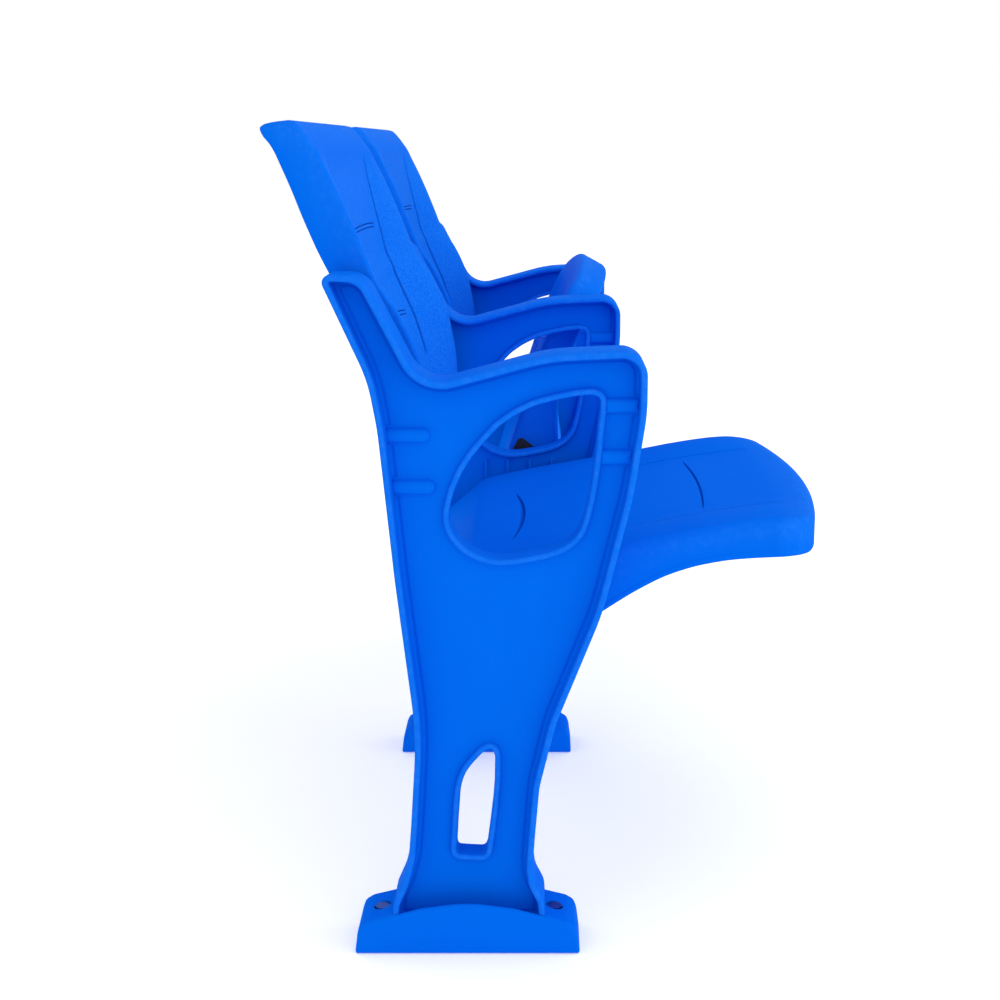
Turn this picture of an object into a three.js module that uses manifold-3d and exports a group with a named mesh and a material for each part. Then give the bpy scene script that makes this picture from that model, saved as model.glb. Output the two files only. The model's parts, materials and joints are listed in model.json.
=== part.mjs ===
// Two-place row of tip-up stadium seats: three moulded side standards on feet carry two backs and two
// seats. Each seat turns on a pair of pivot pins between its standards, and a buffer on each side stops
// it both ways. Millimetres, +Z up, the sitter faces -Y, and X runs along the row. The origin is on the
// floor, in the middle of the centre foot.
import * as THREE from 'three';
import { mergeVertices } from 'three/addons/utils/BufferGeometryUtils.js';
import Module from 'manifold-3d';

const wasm = await Module();
wasm.setup();

// Row
const seatPitch = 550;
const sideGap = 6;
const fitGap = 0.3;
const overrun = 5;

// Side standard: a web with a flange all round, an arm window and a lower slot. Its tables give heights
// as shares of its own height, with the seat's pivot at its own share, and they follow the pivot.
const standardWidth = 58;
const standardDepth = 316;
const standardHeight = 690;
const pivotShare = 0.4928;
const legBaseRear = 72;
const legBaseFront = -78;
const flangeWall = 7;
const webThickness = 12;
const webStep = 1.5;
const webStepInset = 8;
const flangeChamfer = 2;
const rimWall = 6.5;
const rimDepth = 30;
const padRadius = 7.3;
const padRows = [
  { heightShare: 0.777, freeShare: 0.121, fixedShare: 0.222, outerOnly: true },
  { heightShare: 0.703, freeShare: 0.108, fixedShare: 0.205, outerOnly: true },
  { heightShare: 0.819, freeShare: -0.440, fixedShare: -0.535, outerOnly: false },
  { heightShare: 0.746, freeShare: -0.427, fixedShare: -0.515, outerOnly: false },
];
const ribWall = 3;
const ribRise = 8;
const ribFootShare = 0.55;
const ribHeadShare = 0.605;
const ribPlaceShares = [-0.280, -0.188, -0.096, -0.006];
const standardShares = [
  [0.176, 0.203, 0.380], [0.155, 0.341, 1.266], [0.212, 0.572, 1.582], [0.256, 0.790, 0.949],
  [0.282, 0.858, 0.475], [0.424, 1.003, 0.025], [0.291, 1.000, 0.082], [0.119, 0.846, 0.114],
  [-0.263, 0.893, 0.633], [-0.560, 0.899, 0.076], [-0.560, 0.812, 0.633], [-0.522, 0.696, 1.266],
  [-0.430, 0.525, 0.949], [-0.285, 0.357, 0.506], [-0.234, 0.261, 0.316], [-0.217, 0.142, 0.222],
];
const windowShares = [
  [-0.038, 0.587, 0.190], [0.076, 0.670, 0.089], [-0.006, 0.765, 0.190], [-0.259, 0.846, 0.348],
  [-0.446, 0.851, 0.044], [-0.415, 0.699, 0.949], [-0.370, 0.610, 0.114],
];
const slotShares = [
  [0.054, 0.145, 0.038], [0.033, 0.283, 0.044], [-0.076, 0.345, 0.038], [-0.127, 0.342, 0.038],
  [-0.092, 0.145, 0.038],
];

// Foot: an arched block with a pocket for the leg and an anchor bolt at each end
const footLength = 231;
const footWidth = 66;
const footHeight = 54;
const pocketFloor = 24;
const legFlare = 20;
const anchorPlace = 89;
const anchorRadius = 5;
const anchorHeadRadius = 8.5;
const anchorHeadHeight = 6;
const anchorRecessRadius = 10;
const anchorRecessFloor = 32;
const footShares = [
  [0.500, 0.000, 0.000], [0.500, 0.463, 0.043], [0.433, 0.704, 0.052], [0.325, 0.731, 0.035],
  [0.277, 0.870, 0.035], [0.000, 1.056, 0.649], [-0.277, 0.870, 0.035], [-0.325, 0.731, 0.035],
  [-0.433, 0.704, 0.052], [-0.500, 0.463, 0.043], [-0.500, 0.000, 0.000],
];

// Back: a hollow front shell and a rear cover, with its lower edge a set rise above the pivot. Each row of
// shares is one level of the back: its height, its front at the side bolsters and its rear, as shares of
// the back's own sizes, and how much of the full recess the middle panel has there.
const backRise = 92;
const backHeight = 401;
const backDepth = 162;
const backFront = 31.5;
const backCornerRadius = 36;
const backEdgeRadius = 12;
const backWall = 4;
const backRecess = 38;
const backCoverWall = 3;
const bolsterInnerShare = 0.62;
const bolsterOuterShare = 0.85;
const backCavityTopShare = 0.955;
const backShares = [
  [0.000, 0.065, 0.324, 0.55], [0.095, 0.022, 0.299, 0.68], [0.170, 0.003, 0.290, 0.80],
  [0.244, 0.000, 0.287, 0.90], [0.322, 0.019, 0.306, 0.96], [0.426, 0.077, 0.380, 1.00],
  [0.519, 0.182, 0.478, 1.00], [0.618, 0.302, 0.590, 0.84], [0.643, 0.340, 0.620, 0.79],
  [0.758, 0.454, 0.747, 0.52], [0.868, 0.596, 0.870, 0.28], [0.918, 0.664, 0.923, 0.13],
  [0.955, 0.719, 0.966, 0.03], [0.978, 0.756, 0.991, 0.00], [0.993, 0.799, 0.997, 0.00],
  [1.000, 0.855, 0.954, 0.00],
];

// Seat, folded down: a hollow top shell and an underpan, its underside below the pivot. Each row of shares
// is one station from the rear to the nose: its place along the seat, its top and its underside, and how
// much dish it has.
const seatRear = 46;
const seatLength = 403.5;
const seatDrop = 26;
const seatThickness = 129;
const seatNoseSagitta = 19;
const seatNoseDrop = 8;
const seatNoseCorner = 24;
const seatEdgeRadius = 12;
const seatWall = 4;
const seatPanWall = 3;
const seatDish = 6;
const seatDishShare = 0.75;
const noseBlendShare = 0.73;
const underPlaceShares = [0.72, 0.38, 0, -0.38, -0.72];
const seatCavityRearShare = 0.025;
const seatCavityNoseShare = 0.96;
const seatShares = [
  [0.000, 0.279, 0.186, 0.0], [0.005, 0.341, 0.109, 0.0], [0.020, 0.419, 0.047, 0.0],
  [0.064, 0.527, 0.000, 0.0], [0.114, 0.620, 0.000, 0.2], [0.188, 0.674, 0.000, 0.7],
  [0.263, 0.721, 0.000, 1.0], [0.347, 0.757, 0.000, 1.0], [0.387, 0.775, 0.085, 1.0],
  [0.466, 0.813, 0.256, 1.0], [0.550, 0.837, 0.427, 1.0], [0.625, 0.856, 0.543, 1.0],
  [0.709, 0.907, 0.644, 1.0], [0.788, 0.962, 0.698, 1.0], [0.857, 0.992, 0.721, 0.7],
  [0.902, 1.000, 0.729, 0.4], [0.944, 0.981, 0.729, 0.2], [0.971, 0.942, 0.737, 0.0],
  [0.989, 0.899, 0.752, 0.0], [1.000, 0.861, 0.775, 0.0],
];

// Seat hinge: a bracket bolted to the web, a pin pressed into it and a flanged bush in the seat's side
const pivotDepth = -71;
const pivotHeight = 340;
const tipAngle = 61;
const pinRadius = 8;
const pinReach = 27;
const pinChamfer = 1;
const bushWall = 4.7;
const bushFlangeWall = 2.4;
const bushFlangeRadius = 17;
const bossWall = 5;
const bracketPlate = 5;
const bracketBossRadius = 14;
const bracketCornerRadius = 13;
const bracketCorners = [
  { behind: 8, up: 38 },
  { behind: -33, up: -24 },
  { behind: 48, up: -24 },
];
const bracketBoltBehind = 24;
const bracketBoltUp = -11;
const hexHeadRadius = 7.5;
const hexHeadHeight = 5;
const boltRadius = 4;

// Seat plate: a steel plate riveted to each side of the seat, round the bush
const seatPlateWall = 3;
const seatPlateTipRadius = 5;
const seatPlateRadius = 16;
const seatPlateCorners = [
  { behind: -64, up: 64, radius: seatPlateTipRadius },
  { behind: -59, up: 26, radius: seatPlateRadius },
  { behind: -26, up: -22, radius: seatPlateRadius },
  { behind: 24, up: -22, radius: seatPlateRadius },
  { behind: 24, up: 24, radius: seatPlateRadius },
  { behind: -36, up: 64, radius: seatPlateRadius },
];
const rivetRadius = 6;
const rivetRise = 1.2;
const rivetPlaces = [{ behind: -53, up: 52 }, { behind: -40, up: 12 }];

// Stop: a rubber buffer on a stud under each side of the seat. The flat of the seat's underside lies
// against it from above when the seat is down, and from behind when it is up.
const bufferRadius = 9;
const studRadius = 5;
const studHeadRadius = 8;
const studHeadWall = 3;
const bufferReach = 12;

// Back fixing: a steel plate with two bosses against each side of the back, its middle at a share of the
// standard
const fixingShare = 0.7638;
const fixingHeight = 86;
const fixingWidth = 20;
const fixingDepth = 57;
const fixingPlate = 4;
const fixingBossRadius = 8;
const fixingBoltSpacing = 60;

// Facets: the pin and the bore it turns in have the most sides, so that the fit stays clear all round
const arcStep = THREE.MathUtils.degToRad(30);
const pinSides = 16;
const roundSides = 12;
const holeSides = 10;
const hexSides = 6;
const padCapRings = 2;
const padSides = 6;
const cornerRoomShare = 0.49;

// Sizes that follow from the ones above
const clearHalf = (seatPitch - standardWidth) / 2;
const placeHalf = clearHalf - sideGap;
const webFace = webThickness / 2 + webStep;
const flangeFace = standardWidth / 2;
const placeSide = flangeFace + sideGap;
const seatBase = pivotHeight - seatDrop;
const backBottom = pivotHeight + backRise;

// Materials: every moulding is the same saturated blue; the metal and rubber pieces are plain.
function blueMoulding() {
  return new THREE.MeshStandardMaterial({ color: 0x0b5be6, roughness: 0.55, metalness: 0 });
}

function blackSteel() {
  return new THREE.MeshStandardMaterial({ color: 0x15161a, roughness: 0.5, metalness: 0.6 });
}

function zincSteel() {
  return new THREE.MeshStandardMaterial({ color: 0xa9adb3, roughness: 0.35, metalness: 0.9 });
}

function darkRubber() {
  return new THREE.MeshStandardMaterial({ color: 0x1b1b1c, roughness: 0.85, metalness: 0 });
}

function greyNylon() {
  return new THREE.MeshStandardMaterial({ color: 0x3a3c42, roughness: 0.6, metalness: 0 });
}

// A closed geometry as a solid, and a solid as a named mesh.
function solidOf(geometry) {
  const bare = geometry.clone();
  bare.deleteAttribute('normal');
  bare.deleteAttribute('uv');
  const merged = mergeVertices(bare);
  const vertProperties = Float32Array.from(merged.attributes.position.array);
  const triVerts = Uint32Array.from(merged.index.array);
  return new wasm.Manifold(new wasm.Mesh({ numProp: 3, vertProperties, triVerts }));
}

function piece(name, solid, material) {
  const { vertProperties, triVerts } = solid.getMesh();
  const geometry = new THREE.BufferGeometry();
  geometry.setAttribute('position', new THREE.BufferAttribute(Float32Array.from(vertProperties), 3));
  geometry.setIndex(Array.from(triVerts));
  geometry.computeVertexNormals();
  const mesh = new THREE.Mesh(geometry, material);
  mesh.name = name;
  return mesh;
}

// Outlines are lists of corners [y, z, radius], each rounded by an arc of its radius.
function scaled(shares, depth, height) {
  return shares.map(([y, z, r]) => [y * depth, z * height, r * depth]);
}

function cornerArc(before, corner, after) {
  const here = new THREE.Vector2(corner[0], corner[1]);
  const back = new THREE.Vector2(before[0], before[1]).sub(here);
  const ahead = new THREE.Vector2(after[0], after[1]).sub(here);
  const room = Math.min(back.length(), ahead.length()) * cornerRoomShare;
  back.normalize();
  ahead.normalize();
  const half = back.angleTo(ahead) / 2;
  const tangent = Math.min(corner[2] / Math.tan(half), room);
  const radius = tangent * Math.tan(half);
  const centre = back.clone().add(ahead).normalize().multiplyScalar(radius / Math.sin(half)).add(here);
  const start = back.clone().multiplyScalar(tangent).add(here);
  const turn = (Math.PI - 2 * half) * Math.sign(ahead.cross(back));
  const steps = Math.max(1, Math.ceil(Math.abs(turn) / arcStep));
  return Array.from({ length: steps + 1 }, (_, i) => start.clone().rotateAround(centre, (turn * i) / steps));
}

function rounded(corners) {
  return corners.flatMap((corner, i) => {
    const before = corners[(i + corners.length - 1) % corners.length];
    const after = corners[(i + 1) % corners.length];
    return corner[2] > 0 ? cornerArc(before, corner, after) : [new THREE.Vector2(corner[0], corner[1])];
  });
}

// The same outline moved inwards by a distance: outward corners get tighter and hollow ones wider.
function inset(corners, distance) {
  const edges = corners.map((corner, i) => {
    const next = corners[(i + 1) % corners.length];
    const along = new THREE.Vector2(next[0] - corner[0], next[1] - corner[1]).normalize();
    const start = new THREE.Vector2(corner[0] - along.y * distance, corner[1] + along.x * distance);
    return { start, along };
  });
  return corners.map((corner, i) => {
    const first = edges[(i + corners.length - 1) % corners.length];
    const second = edges[i];
    const cross = first.along.cross(second.along);
    const reach = second.start.clone().sub(first.start).cross(second.along) / cross;
    const at = first.along.clone().multiplyScalar(reach).add(first.start);
    const radius = Math.max(corner[2] - Math.sign(cross) * distance, distance / 2);
    return [at.x, at.y, corner[2] > 0 ? radius : 0];
  });
}

// A plate stands across the row: its outline lies in the Y-Z plane and it runs between two X places.
const acrossRow = new THREE.Matrix4().makeBasis(
  new THREE.Vector3(0, 1, 0),
  new THREE.Vector3(0, 0, 1),
  new THREE.Vector3(1, 0, 0),
);

function plate(points, from, to, chamfer = 0) {
  const geometry = new THREE.ExtrudeGeometry(new THREE.Shape(points), {
    depth: to - from - 2 * chamfer,
    bevelEnabled: chamfer > 0,
    bevelThickness: chamfer,
    bevelSize: chamfer,
    bevelOffset: -chamfer,
    bevelSegments: 1,
  });
  geometry.translate(0, 0, from + chamfer);
  geometry.applyMatrix4(acrossRow);
  return solidOf(geometry);
}

// A block between two corners.
function block(low, high) {
  const geometry = new THREE.BoxGeometry(high[0] - low[0], high[1] - low[1], high[2] - low[2]);
  geometry.translate((low[0] + high[0]) / 2, (low[1] + high[1]) / 2, (low[2] + high[2]) / 2);
  return solidOf(geometry);
}

// A round bar along the row between two X places, at a depth and height; six sides make a hexagon.
function bar(radius, from, to, depth, height, sides = roundSides) {
  const geometry = new THREE.CylinderGeometry(radius, radius, Math.abs(to - from), sides);
  geometry.rotateZ(Math.PI / 2);
  geometry.translate((from + to) / 2, depth, height);
  return solidOf(geometry);
}

// An upright round bar between two heights.
function post(radius, bottom, top, across, depth, sides = roundSides) {
  const geometry = new THREE.CylinderGeometry(radius, radius, top - bottom, sides);
  geometry.rotateX(Math.PI / 2);
  geometry.translate(across, depth, (bottom + top) / 2);
  return solidOf(geometry);
}

// A closed skin through rings of points, with a flat cap on the first and the last ring. The function
// flat gives the two coordinates in which a cap is filled.
function capFaces(ring, flat) {
  const outline = ring.map(flat);
  const sense = Math.sign(THREE.ShapeUtils.area(outline));
  return THREE.ShapeUtils.triangulateShape(outline, []).map(([a, b, c]) => {
    const same = Math.sign(THREE.ShapeUtils.area([outline[a], outline[b], outline[c]])) === sense;
    return same ? [a, b, c] : [a, c, b];
  });
}

function skin(rings, flat) {
  const count = rings[0].length;
  const last = (rings.length - 1) * count;
  const faces = capFaces(rings[0], flat).map(([a, b, c]) => [a, c, b]);
  for (let k = 0; k < last; k += count) {
    for (let i = 0; i < count; i += 1) {
      const a = k + i;
      const b = k + ((i + 1) % count);
      faces.push([a, b, b + count], [a, b + count, a + count]);
    }
  }
  capFaces(rings[rings.length - 1], flat).forEach((face) => faces.push(face.map((n) => n + last)));
  const points = rings.flat();
  const volume = faces.reduce((sum, [a, b, c]) => sum + points[a].dot(points[b].clone().cross(points[c])), 0);
  const outward = volume > 0 ? faces : faces.map(([a, b, c]) => [a, c, b]);
  const geometry = new THREE.BufferGeometry().setFromPoints(points);
  geometry.setIndex(outward.flat());
  return solidOf(geometry);
}

// A value that runs along a table of rows whose first column rises.
function along(rows, place, column) {
  const upper = Math.max(1, rows.findIndex((row) => row[0] >= place));
  const [low, high] = [rows[upper - 1], rows[upper]];
  return THREE.MathUtils.mapLinear(place, low[0], high[0], low[column], high[column]);
}

// Side standard. Its inner faces, given as -1 or 1, carry ribs under the window and the hinge and stop
// holes, and its outer faces carry two more pads.
function standardLevel(share) {
  return share < pivotShare
    ? (share / pivotShare) * pivotHeight
    : THREE.MathUtils.mapLinear(share, pivotShare, 1, pivotHeight, standardHeight);
}

function onStandard(shares) {
  return shares.map(([y, z, r]) => [y * standardDepth, standardLevel(z), r * standardDepth]);
}

function standardOutline() {
  const base = [[legBaseFront, pocketFloor, 0], [legBaseRear, pocketFloor, 0]];
  const flare = [legBaseFront, footHeight, legFlare];
  const rear = [legBaseRear, footHeight, legFlare];
  return [...base, rear, ...onStandard(standardShares), flare];
}

function flangeAndWeb() {
  const outer = standardOutline();
  const inner = rounded(inset(outer, flangeWall));
  const flange = plate(rounded(outer), -flangeFace, flangeFace, flangeChamfer)
    .subtract(plate(inner, -flangeFace - overrun, flangeFace + overrun));
  const web = plate(rounded(inset(outer, flangeWall / 2)), -webThickness / 2, webThickness / 2);
  const panel = plate(rounded(inset(outer, flangeWall + webStepInset)), -webFace, webFace);
  return flange.add(web).add(panel);
}

function rimmedHole(body, corners) {
  const rim = plate(rounded(corners), -rimDepth / 2, rimDepth / 2);
  const hole = plate(rounded(inset(corners, rimWall)), -flangeFace - overrun, flangeFace + overrun);
  return body.add(rim).subtract(hole);
}

function pad(row, face) {
  const from = row.freeShare * standardDepth;
  const to = row.fixedShare * standardDepth;
  const geometry = new THREE.CapsuleGeometry(padRadius, Math.abs(to - from), padCapRings, padSides);
  geometry.translate(face * webFace, (from + to) / 2, standardLevel(row.heightShare));
  return solidOf(geometry);
}

function ribs(face) {
  const rise = face * (webFace + ribRise);
  return ribPlaceShares.map((share) => {
    const middle = share * standardDepth;
    return block(
      [Math.min(rise, 0), middle - ribWall / 2, standardLevel(ribFootShare)],
      [Math.max(rise, 0), middle + ribWall / 2, standardLevel(ribHeadShare)]);
  });
}

// The buffer's place from the pivot: it touches the flat of the underside at both ends of the tip.
function stopPlace() {
  const lean = THREE.MathUtils.degToRad(tipAngle) / 2;
  const reach = (seatDrop + bufferRadius + fitGap) / Math.cos(lean);
  return { depth: -reach * Math.sin(lean), height: -reach * Math.cos(lean) };
}

function fixingHeights() {
  const middle = standardLevel(fixingShare);
  return [middle - fixingBoltSpacing / 2, middle + fixingBoltSpacing / 2];
}

function standard(name, innerFaces) {
  let body = flangeAndWeb();
  body = rimmedHole(body, onStandard(windowShares));
  body = rimmedHole(body, onStandard(slotShares));
  const stop = stopPlace();
  for (const face of [-1, 1]) {
    const inner = innerFaces.includes(face);
    padRows.filter((row) => !(inner && row.outerOnly)).forEach((row) => { body = body.add(pad(row, face)); });
    if (inner) {
      const past = face * (webFace + overrun);
      ribs(face).forEach((rib) => { body = body.add(rib); });
      body = body.subtract(bar(boltRadius + fitGap, 0, past,
        pivotDepth + bracketBoltBehind, pivotHeight + bracketBoltUp, holeSides));
      body = body.subtract(bar(studRadius + fitGap, 0, past,
        pivotDepth + stop.depth, pivotHeight + stop.height, holeSides));
    }
  }
  return piece(name, body, blueMoulding());
}

// Foot with its pocket, anchor recesses and bolts.
function foot(name) {
  const outline = rounded(scaled(footShares, footLength, footHeight));
  let body = plate(outline, -footWidth / 2, footWidth / 2, flangeChamfer);
  const pocketHalf = flangeFace + fitGap;
  body = body.subtract(block(
    [-pocketHalf, legBaseFront - fitGap, pocketFloor - fitGap],
    [pocketHalf, legBaseRear + fitGap, footHeight + overrun]));
  for (const depth of [-anchorPlace, anchorPlace]) {
    body = body.subtract(post(anchorRecessRadius, anchorRecessFloor, footHeight + overrun, 0, depth));
    body = body.subtract(post(anchorRadius + fitGap, -overrun, footHeight, 0, depth, holeSides));
  }
  return piece(name, body, blueMoulding());
}

function anchorBolt(name, depth) {
  const seatFace = anchorRecessFloor + fitGap;
  const head = post(anchorHeadRadius, seatFace, seatFace + anchorHeadHeight, 0, depth, hexSides);
  const shank = post(anchorRadius, fitGap, seatFace + anchorHeadHeight / 2, 0, depth, holeSides);
  return piece(name, head.add(shank), zincSteel());
}

// Back. Each level is a ring: the front from side to side, then the two rear corners.
function frontPlaces(half, edgeRadius) {
  const edge = [half, half - edgeRadius * (1 - Math.SQRT1_2), half - edgeRadius];
  const bolster = [bolsterOuterShare, (bolsterOuterShare + bolsterInnerShare) / 2, bolsterInnerShare];
  const right = [...edge, ...bolster.map((share) => share * half)];
  return [...right.map((x) => -x), 0, ...right.reverse()];
}

function edgeRound(x, half, edgeRadius) {
  const past = Math.max(0, Math.abs(x) - half + edgeRadius);
  return edgeRadius - Math.sqrt(Math.max(0, edgeRadius * edgeRadius - past * past));
}

function narrowing(distance, radius) {
  const past = Math.max(0, radius - distance);
  return radius - Math.sqrt(Math.max(0, radius * radius - past * past));
}

function backLevel(share, wall, rearShift) {
  const height = backBottom + share * backHeight;
  const front = backFront + along(backShares, share, 1) * backDepth + wall;
  const rear = backFront + along(backShares, share, 2) * backDepth + rearShift;
  const recess = backRecess * along(backShares, share, 3);
  const corner = narrowing((1 - share) * backHeight, backCornerRadius);
  const half = placeHalf - wall - corner;
  const edge = Math.min(backEdgeRadius, (rear - front) / 2);
  const ring = frontPlaces(half, edge).map((x) => {
    const inside = 1 - THREE.MathUtils.smoothstep(
      Math.abs(x), bolsterInnerShare * placeHalf, bolsterOuterShare * placeHalf);
    return new THREE.Vector3(x, front + recess * inside + edgeRound(x, half, edge), height);
  });
  return [...ring, new THREE.Vector3(half, rear, height), new THREE.Vector3(-half, rear, height)];
}

const levelFlat = (p) => new THREE.Vector2(p.x, p.y);

function backShell(name) {
  const levels = backShares.map(([share]) => share);
  const outer = skin(levels.map((share) => backLevel(share, 0, 0)), levelFlat);
  const floorShare = backWall / backHeight;
  const hollow = [floorShare, ...levels.filter((share) => share > floorShare && share <= backCavityTopShare)];
  let body = outer.subtract(skin(hollow.map((share) => backLevel(share, backWall, overrun)), levelFlat));
  for (const side of [-1, 1]) {
    for (const height of fixingHeights()) {
      body = body.subtract(bar(boltRadius + fitGap, side * (placeHalf - 2 * backWall), side * clearHalf,
        fixingDepth, height, holeSides));
    }
  }
  return piece(name, body, blueMoulding());
}

function coverLevel(share) {
  const height = backBottom + share * backHeight;
  const rear = backFront + along(backShares, share, 2) * backDepth;
  const corner = narrowing((1 - share) * backHeight, backCornerRadius);
  const half = placeHalf - backWall - fitGap - corner;
  const front = rear - backCoverWall;
  return [[-half, front], [half, front], [half, rear], [-half, rear]]
    .map(([x, y]) => new THREE.Vector3(x, y, height));
}

function backCover(name) {
  const from = (backWall + fitGap) / backHeight;
  const to = backCavityTopShare - fitGap / backHeight;
  const inner = backShares.map(([share]) => share).filter((share) => share > from && share < to);
  return piece(name, skin([from, ...inner, to].map(coverLevel), levelFlat), blueMoulding());
}

// Seat, in its own frame about the pivot. Each station is a ring: the top from side to side, then the
// underside back again. Towards the nose the stations bow forwards in plan.
function noseBlend(share) {
  return THREE.MathUtils.smoothstep(share, noseBlendShare, 1);
}

function seatStation(share, wall, underShift, sideWall) {
  const depth = seatRear - share * seatLength - pivotDepth;
  const top = seatBase + along(seatShares, share, 1) * seatThickness - wall - pivotHeight;
  const under = seatBase + along(seatShares, share, 2) * seatThickness + underShift - pivotHeight;
  const dish = seatDish * along(seatShares, share, 3);
  const corner = narrowing((1 - share) * seatLength, seatNoseCorner);
  const half = placeHalf - sideWall - corner;
  const edge = Math.min(seatEdgeRadius, (top - under) / 2);
  const bow = (x) => depth - seatNoseSagitta * noseBlend(share) * (1 - (x / placeHalf) ** 2);
  const upper = frontPlaces(half, edge).map((x) => {
    const inside = 1 - THREE.MathUtils.smoothstep(Math.abs(x), seatDishShare * bolsterInnerShare * placeHalf,
      bolsterOuterShare * placeHalf);
    return new THREE.Vector3(x, bow(x), top - dish * inside - edgeRound(x, half, edge));
  });
  const lower = underPlaceShares.map((placeShare) => {
    const x = placeShare * half;
    const drop = seatNoseDrop * noseBlend(share) * (1 - (x / placeHalf) ** 2);
    return new THREE.Vector3(x, bow(x), under - drop);
  });
  const cornerPoint = (x) => new THREE.Vector3(x, bow(x), under);
  return [...upper, cornerPoint(half), ...lower, cornerPoint(-half)];
}

const stationFlat = (p) => new THREE.Vector2(p.x, p.z);

function seatTop(name) {
  const stations = seatShares.map(([share]) => share);
  const outer = skin(stations.map((share) => seatStation(share, 0, 0, 0)), stationFlat);
  const within = stations.filter((share) => share > seatCavityRearShare && share < seatCavityNoseShare);
  const hollow = [seatCavityRearShare, ...within, seatCavityNoseShare];
  let body = outer.subtract(
    skin(hollow.map((share) => seatStation(share, seatWall, -2 * overrun, seatWall)), stationFlat));
  const bushRadius = pinRadius + fitGap + bushWall;
  const bossEnd = placeHalf - pinReach;
  for (const side of [-1, 1]) {
    body = body.add(bar(bushRadius + bossWall, side * (placeHalf - seatWall / 2), side * bossEnd, 0, 0));
    body = body.subtract(bar(bushRadius + fitGap, side * clearHalf, side * (bossEnd - overrun), 0, 0));
  }
  return piece(name, body, blueMoulding());
}

function panStation(share) {
  const depth = seatRear - share * seatLength - pivotDepth;
  const under = seatBase + along(seatShares, share, 2) * seatThickness - pivotHeight;
  const half = placeHalf - bufferReach - 2 * fitGap;
  return [[-half, under], [half, under], [half, under + seatPanWall], [-half, under + seatPanWall]]
    .map(([x, z]) => new THREE.Vector3(x, depth, z));
}

function seatPan(name) {
  const from = seatCavityRearShare + fitGap / seatLength;
  const to = seatCavityNoseShare - fitGap / seatLength;
  const inner = seatShares.map(([share]) => share).filter((share) => share > from && share < to);
  return piece(name, skin([from, ...inner, to].map(panStation), stationFlat), blueMoulding());
}

// Hinge and stop pieces. Each is made for one face of a standard: X counts from the standard's middle,
// and face is the side it is on.
function hingeBracket(name, face) {
  const corners = bracketCorners.map(({ behind, up }) => [behind, up, bracketCornerRadius]);
  const inner = face * (webFace + fitGap);
  const outer = inner + face * bracketPlate;
  const bossEnd = face * (placeSide - 2 * fitGap - bushFlangeWall);
  const past = face * overrun;
  let body = plate(rounded(corners), Math.min(inner, outer), Math.max(inner, outer));
  body = body.add(bar(bracketBossRadius, inner, bossEnd, 0, 0));
  body = body.subtract(bar(pinRadius + fitGap, inner - past, bossEnd + past, 0, 0, pinSides));
  body = body.subtract(bar(boltRadius + fitGap, inner - past, outer + past,
    bracketBoltBehind, bracketBoltUp, holeSides));
  return piece(name, body, blackSteel());
}

function hexBolt(name, underHead, tip, depth, height) {
  const way = Math.sign(underHead - tip);
  const head = bar(hexHeadRadius, underHead, underHead + way * hexHeadHeight, depth, height, hexSides);
  const shank = bar(boltRadius, tip, underHead + (way * hexHeadHeight) / 2, depth, height, holeSides);
  return piece(name, head.add(shank), zincSteel());
}

function bracketBolt(name, face) {
  const underHead = face * (webFace + 2 * fitGap + bracketPlate);
  return hexBolt(name, underHead, face * fitGap, bracketBoltBehind, bracketBoltUp);
}

function pivotPin(name, face) {
  const inner = webFace + 2 * fitGap;
  const end = placeSide + pinReach;
  const profile = [
    [0, inner], [pinRadius, inner], [pinRadius, end - pinChamfer], [pinRadius - pinChamfer, end], [0, end],
  ].map(([x, y]) => new THREE.Vector2(x, y));
  const geometry = new THREE.LatheGeometry(profile, pinSides);
  geometry.rotateZ(-Math.PI / 2);
  if (face < 0) {
    geometry.rotateY(Math.PI);
  }
  return piece(name, solidOf(geometry), zincSteel());
}

function hingeBush(name, face) {
  const flangeStart = face * (placeSide - fitGap - bushFlangeWall);
  const flangeEnd = face * (placeSide - fitGap);
  const sleeveEnd = face * (placeSide + pinReach);
  const outer = pinRadius + fitGap + bushWall;
  const past = face * overrun;
  const body = bar(bushFlangeRadius, flangeStart, flangeEnd, 0, 0)
    .add(bar(outer, flangeStart, sleeveEnd, 0, 0))
    .subtract(bar(pinRadius + fitGap, flangeStart - past, sleeveEnd + past, 0, 0, pinSides));
  return piece(name, body, greyNylon());
}

function seatPlate(name, face) {
  const inner = face * (placeSide - fitGap);
  const outer = inner - face * seatPlateWall;
  const head = outer - face * rivetRise;
  const past = face * overrun;
  const corners = seatPlateCorners.map(({ behind, up, radius }) => [behind, up, radius]);
  let body = plate(rounded(corners), Math.min(inner, outer), Math.max(inner, outer));
  rivetPlaces.forEach(({ behind, up }) => { body = body.add(bar(rivetRadius, inner, head, behind, up)); });
  body = body.subtract(bar(bushFlangeRadius + fitGap, inner + past, outer - past, 0, 0));
  return piece(name, body, blackSteel());
}

function stopStud(name, face) {
  const { depth, height } = stopPlace();
  const end = face * (placeSide + bufferReach + fitGap);
  const body = bar(studRadius, face * fitGap, end, depth, height, holeSides)
    .add(bar(studHeadRadius, end, end + face * studHeadWall, depth, height));
  return piece(name, body, zincSteel());
}

function stopBuffer(name, face) {
  const { depth, height } = stopPlace();
  const start = face * (webFace + fitGap);
  const end = face * (placeSide + bufferReach);
  const past = face * overrun;
  const body = bar(bufferRadius, start, end, depth, height, pinSides)
    .subtract(bar(studRadius + fitGap, start - past, end + past, depth, height, holeSides));
  return piece(name, body, darkRubber());
}

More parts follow.
